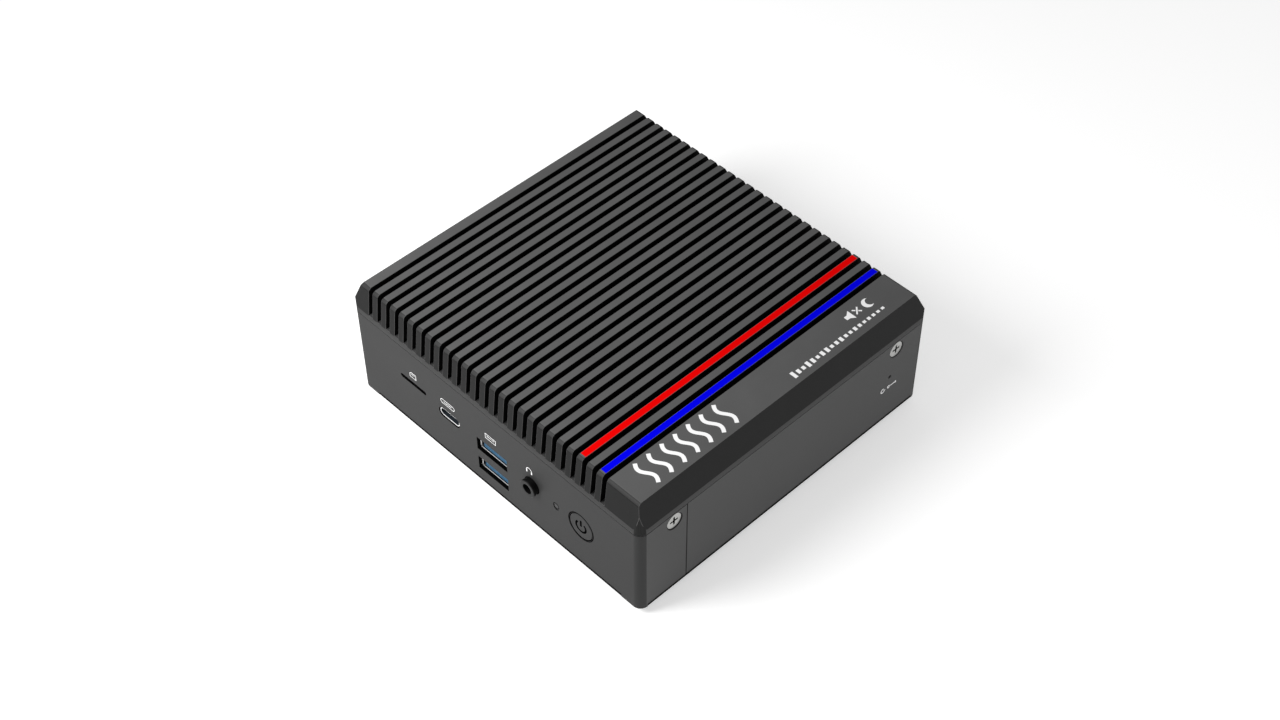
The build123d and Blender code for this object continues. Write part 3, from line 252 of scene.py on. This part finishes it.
def painted(name, code, roughness=0.7, specular=0.03):
    """An ink or paint film: flat colour with a faint mottle and orange-peel relief."""
    made = Finish(name, specular=specular)
    peel = made.noise(0.35, detail=2.0)
    made.colour(made.ramp(peel, 0.3, 0.7, shades(linear(code), 0.03)))
    made.roughness(made.spread(peel, roughness - 0.05, roughness + 0.05))
    made.relief(peel, 0.003)
    return made.material


def laminate(name):
    """Circuit board: dark solder mask with copper tracks and pads showing through."""
    made = Finish(name, specular=0.6, coat=0.3, coat_roughness=0.25)
    squares = made.node("ShaderNodeTexBrick", offset=0.35, squash=0.6, squash_frequency=3)
    for socket, value in (("Scale", 1 / (6.0 * MM)), ("Mortar Size", 0.02), ("Mortar Smooth", 0.1)):
        squares.inputs[socket].default_value = value
    for socket, code in (("Color1", "101A16"), ("Color2", "14211B"), ("Mortar", "2C4A3A")):
        squares.inputs[socket].default_value = (*linear(code), 1)
    made.link(made.place, squares.inputs["Vector"])
    made.colour(squares.outputs["Color"])
    made.roughness(made.spread(made.noise(0.5), 0.28, 0.42))
    made.relief(squares.outputs["Fac"], 0.03)
    return made.material


LOOKS = {
    # Painted light and shade on the one anodised lid: the flat top lightest, the band, the rounded edges
    # and the bevels darker, the groove floors dark and the groove walls near black.
    "lid_top": blasted("lid_top", "535353", 0.0, 0.50, grain=0.20, shift=0.14, specular=0.3),
    "lid_band": blasted("lid_band", "3C3C3C", 0.0, 0.62, grain=0.20, specular=0.2),
    "lid_round": blasted("lid_round", "2B2B2B", 0.0, 0.58, grain=0.20, specular=0.2),
    "lid_front_bevel": blasted("lid_front_bevel", "181818", 0.0, 0.60, grain=0.20, specular=0.1),
    "lid_side_bevel": blasted("lid_side_bevel", "1F1F1F", 0.0, 0.60, grain=0.20, specular=0.1),
    "lid_groove_shade": blasted("lid_groove_shade", "060606", 0.0, 0.8, shift=0.5, specular=0.05),
    "lid_floor": blasted("lid_floor", "3A3A3A", 0.0, 0.7, shift=0.2, specular=0.1),
    "lid_inside": blasted("lid_inside", "5C5C5E", 0.3, 0.6),
    # Painted shade: the rounded upright corners of the case are darker than the walls on both sides.
    "corner": blasted("corner", "2A2A2A", 0.0, 0.62, grain=0.24, specular=0.2),
    # Painted shade: the front of the case takes a darker tone than its sides and back, which are the same
    # finish.
    "front_wall_shade": blasted("front_wall_shade", "2D2D2D", 0.0, 0.62, grain=0.24, specular=0.2),
    # Painted shade: the walls of the openings through the front and back are near black.
    "opening_wall_shade": blasted("opening_wall_shade", "040404", 0.0, 0.7, specular=0.02),
    "rear_wall": blasted("rear_wall", "484848", 0.0, 0.62, grain=0.22, specular=0.2),
    "base_plate": blasted("base_plate", "262626", 0.0, 0.6, grain=0.35, depth=0.02, specular=0.15),
    # Painted shade: the edges of the base cover are near black against its grey flat faces, for the
    # shaded notch at the foot of the case.
    "base_lip_shade": blasted("base_lip_shade", "030303", 0.0, 0.7, grain=0.35, specular=0.02),
    "rubber": rubber("rubber", "1C1C1C"),
    "screw": brushed("screw", "B0B0AE", 0.38, "Y", streak=0.16),
    # Painted shade in the cross recess of the screw heads.
    "screw_recess_shade": blasted("screw_recess_shade", "060606", 0.0, 0.6, specular=0.05),
    "brass": brushed("brass", "C8A24E", 0.3, "Z"),
    "clear": blasted("clear", "202020", 0.0, 0.35, specular=0.3, shift=0.05),
    "led": blasted("led", "D8D4A8", 0.0, 0.3),
    "button": blasted("button", "2D2D2D", 0.0, 0.6, grain=0.24, specular=0.2),
    "black_plastic": blasted("black_plastic", "070707", 0.0, 0.45, grain=0.4, depth=0.004, specular=0.15),
    # Painted light: the front-facing lip of the jack is a lighter black than the rest of the same
    # plastic.
    "jack_lip": blasted("jack_lip", "0E0E0E", 0.0, 0.45, grain=0.4, depth=0.003, specular=0.15),
    "white_plastic": blasted("white_plastic", "CFCDC4", 0.0, 0.42, grain=0.5, shift=0.04),
    "laminate": laminate("laminate"),
    "epoxy": blasted("epoxy", "1B1B1D", 0.0, 0.5, grain=0.12, depth=0.006),
    "pad": blasted("pad", "8C93A6", 0.0, 0.8, grain=0.3, depth=0.02),
    "copper": brushed("copper", "B87048", 0.32, "X"),
    "ferrite": blasted("ferrite", "34343A", 0.0, 0.55, grain=0.2, depth=0.02),
    "can": brushed("can", "C2C4C6", 0.26, "Z"),
    "socket_steel": brushed("socket_steel", "C9C9C7", 0.28, "Y", streak=0.2),
    # Painted highlight and painted shade on one steel shell: the bright front edge and the dark inside.
    "rim": blasted("rim", "E8E8E8", 0.25, 0.35, grain=0.3, depth=0.002, shift=0.03),
    "socket_inside_shade": blasted("socket_inside_shade", "1C2228", 0.0, 0.5, grain=0.3, specular=0.3),
    "gold": brushed("gold", "D9B25A", 0.24, "Y"),
    "usb_blue": blasted("usb_blue", "33607F", 0.0, 0.4, grain=0.3, depth=0.003, shift=0.05),
    "foil": brushed("foil", "C09A60", 0.36, "X"),
    "cable": blasted("cable", "1A1A1C", 0.0, 0.45, grain=0.2),
    "red": painted("red", "DE0000"),
    "blue": painted("blue", "0000DE"),
    "white_ink": painted("white_ink", "F2F2F2"),
    # Black print for the power sign, and painted shade for the black rings in the gaps round the button
    # and the light.
    "black_print_and_gap_shade": painted("black_print_and_gap_shade", "030303", specular=0.0),
}

# Each of the record's material slots, and the look that its nodes take
SLOT_LOOK = {
    "lid_aluminium": "lid_inside", "front_shell": "front_wall_shade", "rear_shell": "rear_wall",
    "base_shell": "base_plate", "foot_rubber": "rubber", "screw_steel": "screw",
    "insert_brass": "brass", "clear_plastic": "clear", "led_resin": "led",
    "button_plastic": "button", "black_plastic": "black_plastic", "white_plastic": "white_plastic",
    "board_laminate": "laminate", "chip_epoxy": "epoxy", "thermal_pad": "pad", "copper": "copper",
    "ferrite": "ferrite", "can_aluminium": "can", "socket_steel": "socket_steel",
    "contact_gold": "gold", "usb_blue": "usb_blue", "antenna_foil": "foil", "cable_jacket": "cable",
}
SLOT_OF = {n: o.material_slots[0].material.name for n, o in nodes.items()}

for name, node in nodes.items():
    look = LOOKS[SLOT_LOOK[SLOT_OF[name]]]
    for material_slot in node.material_slots:
        material_slot.material = look

# -------------------------------------------------- finer copies of CAD pieces

SHARP = math.radians(28)
FLAT = math.radians(0.4)
FILM = 0.02
MERGE = 0.002


def add_piece(name, shape, looks, body):
    """Turn a finished shape into a visible piece that rides on a body."""
    mesh = bpy.data.meshes.new(name)
    shape.to_mesh(mesh)
    shape.free()
    for look in looks:
        mesh.materials.append(LOOKS[look])
    piece = bpy.data.objects.new(name, mesh)
    bpy.context.scene.collection.objects.link(piece)
    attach(piece, body)
    return piece


def refined(node, width, looks, choose, keep=None, sunk=None):
    """A visible piece with the CAD node's shape, its sharp edges broken by a small bevel.
    looks names its materials; the last one is for the broken edges. choose(centre, normal)
    names a face's material, with the centre in millimetres. keep(centre) limits where edges
    are broken. sunk gives an axis, a sign and a face's place: that face is moved in by the
    thickness of an ink film, which then ends where the CAD face is."""
    shape = bmesh.new()
    shape.from_mesh(nodes[node].data)
    bmesh.ops.remove_doubles(shape, verts=shape.verts, dist=MERGE * MM)
    bmesh.ops.dissolve_limit(
        shape, angle_limit=FLAT, use_dissolve_boundaries=False, verts=shape.verts, edges=shape.edges)
    shape.normal_update()
    for face in shape.faces:
        face.material_index = looks.index(choose(face.calc_center_median() / MM, face.normal))
    sharp = [
        e for e in shape.edges
        if len(e.link_faces) == 2 and e.calc_face_angle(0) > SHARP
        and (keep is None or keep((e.verts[0].co + e.verts[1].co) / 2 / MM))]
    bmesh.ops.bevel(
        shape, geom=sharp, offset=width * MM, offset_type="OFFSET", segments=2, profile=0.6,
        affect="EDGES", clamp_overlap=True, loop_slide=True, material=len(looks) - 1)
    if sunk:
        axis, sign, place = sunk
        limit = (place - sign * FILM) * MM
        for corner in shape.verts:
            if sign * (corner.co[axis] - limit) > 0:
                corner.co[axis] = limit
    for face in shape.faces:
        face.smooth = True
    for e in shape.edges:
        e.smooth = len(e.link_faces) != 2 or e.calc_face_angle(0) < SHARP
    piece = add_piece(f"{node}_skin", shape, looks, BODY_OF[node])
    stored = piece.data.attributes.get("custom_normal")
    if stored:
        piece.data.attributes.remove(stored)
    weigh = piece.modifiers.new("weighted_normals", "WEIGHTED_NORMAL")
    weigh.keep_sharp = True
    weigh.mode = "FACE_AREA"
    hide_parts(node)


def millimetres(node):
    low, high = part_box(node)
    return low / MM, high / MM


SEAM_GAP = 0.25
BAND_HEIGHT = 2.2

lid_high = millimetres("heatsink_cover")[1]
front_low, front_high = millimetres("front_frame")
TOP = lid_high.z
SIDE = lid_high.x
BASE = front_low.z
FRONT = front_low.y
BACK = millimetres("rear_frame")[1].y
MIDDLE = (FRONT + BACK) / 2
SEAM = front_high.z + SEAM_GAP
BEVEL_BOTTOM = SEAM + BAND_HEIGHT
GROOVE_FLOOR_BELOW = BEVEL_BOTTOM + 0.2

# The rounded corners of the lid, from just above the seam to part of the way up the bevels
CORNER_REACH = 3.4
CORNER_HEIGHTS = (SEAM + 0.3, BEVEL_BOTTOM + 2.5)

# How much of a face's normal lies along an axis, for telling faces apart
TURNED = 0.2
HALF = 0.5
MOSTLY = 0.9
LEVEL = 0.97
UPRIGHT = 0.99
ROLLED_EDGE = 0.45


def is_corner(normal):
    """A facet of a rounded upright corner faces part of the way between two walls."""
    return min(abs(normal.x), abs(normal.y)) > TURNED


def lid_look(centre, normal):
    """Under the seam is bare metal, then the band, the grooves, the flat top and the bevels. These are
    one anodised finish given painted light and shade: lightest on the top, darker on the band, the
    rounded edges and the bevels, dark on the groove floors and near black on the groove walls.
    """
    if centre.z < SEAM - 0.01:
        return "lid_inside"
    if centre.z < BEVEL_BOTTOM + 0.02:
        # Painted shade: the rounded corners of the band take the darkest bevel tone.
        if is_corner(normal):
            return "lid_front_bevel"
        return "lid_round" if normal.y < -HALF else "lid_band"
    # Painted shade: the groove floors take a dark tone.
    if normal.z > MOSTLY and centre.z < GROOVE_FLOOR_BELOW:
        return "lid_floor"
    # Painted shade: the groove walls are near black.
    if abs(normal.x) > UPRIGHT:
        return "lid_groove_shade"
    if normal.z > LEVEL:
        return "lid_top"
    if abs(normal.x) > abs(normal.y):
        return "lid_side_bevel"
    return "lid_round" if normal.z > ROLLED_EDGE else "lid_front_bevel"


def lid_edge(centre):
    """Edges inside the lid stay sharp, and so do those between the corners' narrow facets."""
    low, high = CORNER_HEIGHTS
    at_side = abs(centre.x) > SIDE - CORNER_REACH
    at_end = abs(centre.y - MIDDLE) > (BACK - FRONT) / 2 - CORNER_REACH
    return centre.z > SEAM - 0.05 and not (at_side and at_end and low < centre.z < high)


refined(
    "heatsink_cover", 0.12,
    ["lid_top", "lid_band", "lid_front_bevel", "lid_side_bevel", "lid_groove_shade", "lid_floor", "lid_inside",
     "lid_round", "lid_top"],
    lid_look, keep=lid_edge, sunk=(2, 1, TOP))

WALL_DEPTH = 2.01
SKIN_DEPTH = 0.1
CORNER_POST = 4.0


def wall_look(wall):
    """The front or back wall's tone, then the corners', the sides' and the openings'. All are one finish
    given painted shade: the front frame's front darker than the sides and back, the corners darker still,
    the walls of the openings near black.
    """
    def choose(centre, normal):
        at_end = min(abs(centre.y - FRONT), abs(centre.y - BACK)) < WALL_DEPTH
        under_skin = FRONT + SKIN_DEPTH < centre.y < BACK - SKIN_DEPTH
        across = abs(centre.x) < SIDE - CORNER_POST and abs(normal.y) < HALF
        # Painted shade in the openings.
        if at_end and under_skin and across:
            return "opening_wall_shade"
        # Painted shade on the rounded corners.
        if is_corner(normal):
            return "corner"
        # The sides take the lighter tone; the front takes painted shade.
        return "rear_wall" if abs(normal.x) > MOSTLY else wall
    return choose


refined(
    "front_frame", 0.10, ["front_wall_shade", "opening_wall_shade", "rear_wall", "corner", "front_wall_shade"],
    wall_look("front_wall_shade"), sunk=(1, -1, FRONT))
refined(
    "rear_frame", 0.10, ["rear_wall", "opening_wall_shade", "corner", "rear_wall"],
    wall_look("rear_wall"), sunk=(0, 1, SIDE))
# The edges of the base cover take painted shade.
refined(
    "base_cover", 0.10, ["base_plate", "base_lip_shade"],
    lambda centre, normal: "base_plate" if abs(normal.z) > MOSTLY else "base_lip_shade")
refined("power_button", 0.05, ["button"], lambda centre, normal: "button", sunk=(1, -1, FRONT))

SCREW_HALF_SPAN = 47.7
SCREW_HEIGHT = BASE + 30.1
HEAD_FACE = SIDE - 0.32
HEAD_FLOOR = SIDE - 1.5
CROSS_REACH = 1.7


def screw_look(centre, normal):
    """The head is bright, and its cross-shaped recess is near black: painted shade in the recess."""
    off_axis = math.hypot(abs(centre.y - MIDDLE) - SCREW_HALF_SPAN, centre.z - SCREW_HEIGHT)
    in_recess = off_axis < CROSS_REACH and HEAD_FLOOR < abs(centre.x) < HEAD_FACE
    return "screw_recess_shade" if in_recess else "screw"


refined("side_screws", 0.06, ["screw", "screw_recess_shade", "screw"], screw_look)

JACK_LIP = FRONT - 1.9


def jack_look(centre, normal):
    # Painted light on the jack's front lip.
    return "jack_lip" if normal.y < -MOSTLY and centre.y < JACK_LIP else "black_plastic"


refined("audio_jack_body", 0.06, ["black_plastic", "jack_lip", "black_plastic"], jack_look)

RIM_DEPTH = 0.05


def rim_look(face_y, inward):
    """Only the front edge of a steel shell is bright, a painted highlight; inside, it is dull and dark, a
    painted shade.
    """
    def choose(centre, normal):
        on_rim = inward * (centre.y - face_y) < RIM_DEPTH and abs(normal.y) > MOSTLY
        return "rim" if on_rim else "socket_inside_shade"
    return choose


for socket in ("usb_front_shell", "usb_c_shell", "usb_rear_shell"):
    mouth_low, mouth_high = millimetres(socket)
    facing = 1 if mouth_low.y < 0 else -1
    mouth = mouth_low.y if facing == 1 else mouth_high.y
    refined(socket, 0.08, ["rim", "socket_inside_shade", "rim"], rim_look(mouth, facing))

# ------------------------------------------------------------ paint and legends


class Drawing:
    """Thin closed films drawn on one flat face. Places on it are (across, upward), in millimetres."""

    def __init__(self, origin, across, upward):
        self.origin, self.across, self.upward = Vector(origin), Vector(across), Vector(upward)
        self.outward = self.across.cross(self.upward)
        self.shape = bmesh.new()

    def corner(self, point, depth):
        place = self.origin + self.across * point[0] + self.upward * point[1] - self.outward * depth
        return self.shape.verts.new(place * MM)

    def slab(self, outline):
        """A filled outline of any number of corners."""
        top = [self.corner(p, 0) for p in outline]
        bottom = [self.corner(p, 2 * FILM) for p in outline]
        self.shape.faces.new(top)
        self.shape.faces.new(bottom[::-1])
        for i in range(len(outline)):
            self.shape.faces.new((top[i - 1], bottom[i - 1], bottom[i], top[i]))

    def line(self, points, width, closed=False):
        """A stroke of even width along some points."""
        points = [Vector(p) for p in points]
        pairs = []
        for i, point in enumerate(points):
            before = points[i - 1] if closed or i else None
            after = points[(i + 1) % len(points)] if closed or i < len(points) - 1 else None
            runs = []
            if before is not None:
                runs.append((point - before).normalized())
            if after is not None:
                runs.append((after - point).normalized())
            along = sum(runs, Vector((0, 0))).normalized()
            side = Vector((-along.y, along.x))
            reach = width / 2 / abs(side.dot(Vector((-runs[0].y, runs[0].x))))
            pairs.append((point + side * reach, point - side * reach))
        self.band(pairs, closed)

    def band(self, pairs, closed=False):
        """A strip between two outlines, given as pairs of facing places."""
        rows = [
            [self.corner(p, d) for p, d in (
                (left, 0), (right, 0), (right, 2 * FILM), (left, 2 * FILM))]
            for left, right in pairs]
        for i in range(0 if closed else 1, len(rows)):
            for j in range(4):
                self.shape.faces.new((rows[i - 1][j - 1], rows[i - 1][j], rows[i][j], rows[i][j - 1]))
        if not closed:
            self.shape.faces.new(rows[0])
            self.shape.faces.new(rows[-1][::-1])

    def finish(self, name, look="white_ink", slot="ink_white", body="case"):
        bmesh.ops.recalc_face_normals(self.shape, faces=self.shape.faces)
        add_piece(name, self.shape, [look], body)


def arc(centre, radius, start, end, count=20):
    """Points along an arc, with angles in degrees anticlockwise from the across direction."""
    angles = [math.radians(start + (end - start) * i / (count - 1)) for i in range(count)]
    return [(centre[0] + radius * math.cos(t), centre[1] + radius * math.sin(t)) for t in angles]


def oblong(width, height, centre=(0, 0)):
    x, y = centre
    return [(x - width / 2, y - height / 2), (x + width / 2, y - height / 2),
            (x + width / 2, y + height / 2), (x - width / 2, y + height / 2)]


def on_top(x, y):
    """A drawing on the lid that is read from the right side."""
    return Drawing((x, y, TOP), (0, 1, 0), (-1, 0, 0))


def on_front(x, z):
    return Drawing((x, FRONT, z), (1, 0, 0), (0, 0, 1))


def over(node):
    """A drawing on the front wall, centred on a node."""
    low, high = millimetres(node)
    return on_front((low.x + high.x) / 2, (low.z + high.z) / 2)


# Painted fins
FIN_START = -53.53
FIN_PITCH = 4.107
FIN_WIDTH = 2.267
PAINT_Y = (FRONT + 2.72, BACK - 6.0)
PAINT_DROP = 0.14
PAINT_CHAMFER = 0.12
PAINT_SPARE = 0.004


def painted_fin(index, name, look):
    """A coat of paint over a fin's flat top and its two broken edges."""
    left = FIN_START + index * FIN_PITCH - PAINT_SPARE
    right = left + FIN_WIDTH + 2 * PAINT_SPARE
    low, mid = TOP - PAINT_DROP - FILM, TOP - PAINT_CHAMFER
    section = [(left, low), (right, low), (right, mid), (right - PAINT_CHAMFER, TOP),
               (left + PAINT_CHAMFER, TOP), (left, mid)]
    shape = bmesh.new()
    ends = [[shape.verts.new((x * MM, y * MM, z * MM)) for x, z in section] for y in PAINT_Y]
    shape.faces.new(ends[0])
    shape.faces.new(ends[1][::-1])
    for i in range(len(section)):
        shape.faces.new((ends[0][i - 1], ends[1][i - 1], ends[1][i], ends[0][i]))
    bmesh.ops.recalc_face_normals(shape, faces=shape.faces)
    add_piece(name, shape, [look], "case")


painted_fin(22, "red_fin_paint", "red")
painted_fin(24, "blue_fin_paint", "blue")


WAVE_STEPS = 24
WAVE_PITCH = 5.22
WAVE_SWAY = 1.05
WAVE_LENGTH = 9.4
WAVE_STROKE = 1.25


def heat_mark():
    """Seven upright waves, for heat rising from the fins."""
    drawing = on_top(55.05, -33.9)
    for index in range(-3, 4):
        wave = []
        for step in range(WAVE_STEPS + 1):
            t = step / WAVE_STEPS
            sway = WAVE_SWAY * math.sin(2 * math.pi * t)
            wave.append((index * WAVE_PITCH + sway, WAVE_LENGTH * (t - 0.5)))
        drawing.line(wave, WAVE_STROKE)
    drawing.finish("heat_mark")


BAR_COUNT = 20
BAR_START = -19.4
BAR_PITCH = 2.05
BAR_WIDTH = 1.15
BAR_LOWEST = 0.9
BAR_RISE = 1.7
CROSS_STROKE = 0.5


def quiet_mark():
    """A silent loudspeaker and a moon, over a row of bars that die away."""
    drawing = on_top(53.85, 40.3)
    drawing.slab([(-5.8, -0.75), (-4.6, -0.75), (-3.0, -1.9), (-3.0, 1.9), (-4.6, 0.75), (-5.8, 0.75)])
    drawing.line([(-1.9, -1.1), (0.3, 1.1)], CROSS_STROKE)
    drawing.line([(-1.9, 1.1), (-1.12, 0.32)], CROSS_STROKE)
    drawing.line([(-0.48, -0.32), (0.3, -1.1)], CROSS_STROKE)
    drawing.band(list(zip(arc((3.9, 0), 1.9, 50, 310, 24), arc((4.94, 0), 1.48, 80, 280, 24))))
    drawing.finish("quiet_mark")
    bars = on_top(58.5, 26.25)
    for index in range(BAR_COUNT):
        fading = 1 - index / (BAR_COUNT - 1)
        height = BAR_LOWEST + BAR_RISE * fading * (0.6 + 0.4 * math.cos(index * 1.9))
        bars.slab(oblong(BAR_WIDTH, height, (BAR_START + index * BAR_PITCH, 0)))
    bars.finish("level_bars")


ICON_STROKE = 0.2


def socket_marks():
    """A card, two kinds of plug and headphones, each over its socket."""
    card = on_front(-36.0, 26.7)
    card.line([(-1.4, -1.0), (1.4, -1.0), (1.4, 1.0), (-0.7, 1.0), (-1.4, 0.4)], ICON_STROKE, closed=True)
    for step in range(3):
        card.slab(oblong(ICON_STROKE, 0.55, (-0.45 + 0.55 * step, 0.35)))
    card.finish("card_mark")
    plug = on_front(-19.8, 26.4)
    ends = arc((2.3, 0), 0.85, -90, 90, 10) + arc((-2.3, 0), 0.85, 90, 270, 10)
    plug.line(ends, ICON_STROKE, closed=True)
    plug.slab(oblong(3.6, ICON_STROKE))
    plug.finish("oval_plug_mark")
    wide = on_front(-0.25, 26.65)
    wide.line(oblong(4.6, 1.9), ICON_STROKE, closed=True)
    wide.slab(oblong(3.4, 0.22, (0, 0.15)))
    wide.finish("wide_plug_mark")
    phones = on_front(16.9, 26.9)
    phones.line(arc((0, -0.15), 1.15, 0, 180, 20), 0.24)
    for side in (-1, 1):
        phones.slab(oblong(0.5, 1.0, (side * 1.05, -0.6)))
    phones.finish("headphone_mark")


def reset_mark():
    """An arrow that runs in a circle, and a pin that points into a hole."""
    drawing = Drawing((SIDE, 46.8, 17.5), (0, 1, 0), (0, 0, 1))
    drawing.line(arc((-2.6, 0), 0.78, 60, 345, 20), 0.36)
    drawing.slab([(-2.28, 0.12), (-1.38, 0.12), (-1.83, -0.55)][::-1])
    drawing.line(arc((0.1, 0), 0.46, 0, 340, 18), 0.32)
    drawing.line([(0.9, 0), (3.1, 0)], 0.34)
    drawing.slab([(3.1, -0.4), (3.6, -0.4), (3.6, 0.4), (3.1, 0.4)])
    drawing.finish("reset_mark")


SIGN_RADIUS = 2.05
SIGN_STROKE = 0.72
BUTTON_EDGE = 5.22
LIGHT_EDGE = 1.16


def power_mark():
    """The power sign on the button, and black rings round the button and the light, painted shade that
    widens the dark gaps round them.
    """
    sign = over("power_button")
    sign.line(arc((0, 0), SIGN_RADIUS, 130, 410, 32), SIGN_STROKE)
    sign.line([(0, 0.15), (0, 2.75)], SIGN_STROKE)
    sign.finish("power_mark", "black_print_and_gap_shade", "ink_black", BODY_OF["power_button"])
    # Painted shade: black rings on the front wall round the button and the light, darkening their gaps.
    ring = over("power_button")
    ring.line(arc((0, 0), BUTTON_EDGE, 0, 352.5, 48), 0.3, closed=True)
    ring.finish("power_button_gap_shade", "black_print_and_gap_shade", "ink_black")
    light = over("status_light_pipe")
    light.line(arc((0, 0), LIGHT_EDGE, 0, 345, 24), 0.22, closed=True)
    light.finish("light_gap_shade", "black_print_and_gap_shade", "ink_black")


heat_mark()
quiet_mark()
socket_marks()
reset_mark()
power_mark()

# ------------------------------------------------------------------- studio

FLOOR_SIZE = 6.0
FLOOR_PALE = (0.9, 0.9, 0.9, 1)
FLOOR_GLOW = 0.42
WORLD_STRENGTH = 0.34
WHITE = (1, 1, 1, 1)


def make_floor():
    bpy.ops.mesh.primitive_plane_add(size=FLOOR_SIZE)
    floor = bpy.context.object
    floor.name = "floor"
    made = Finish("floor", specular=0.1)
    made.set("Base Color", FLOOR_PALE)
    made.set("Roughness", 0.8)
    made.set("Emission Color", WHITE)
    made.set("Emission Strength", FLOOR_GLOW)
    floor.data.materials.append(made.material)


def soft_light(name, azimuth, elevation, distance, size, power):
    """A round area light in metres and watts, aimed at the middle of the object's base."""
    data = bpy.data.lights.new(name, "AREA")
    data.shape = "DISK"
    data.size = size
    data.energy = power
    light = bpy.data.objects.new(name, data)
    bpy.context.scene.collection.objects.link(light)
    out = direction(azimuth, elevation)
    light.location = out * distance
    light.rotation_mode = "QUATERNION"
    light.rotation_quaternion = out.to_track_quat("Z", "Y")


def make_world(strength):
    world = bpy.data.worlds.new("studio")
    world.use_nodes = True
    backdrop = world.node_tree.nodes["Background"]
    backdrop.inputs["Color"].default_value = WHITE
    backdrop.inputs["Strength"].default_value = strength
    bpy.context.scene.world = world


make_floor()
make_world(WORLD_STRENGTH)
soft_light("key", -20, 46, 0.35, 0.2, 1.15)
soft_light("side", 118, 24, 0.9, 0.4, 1.6)
bpy.context.scene.view_settings.view_transform = "Standard"
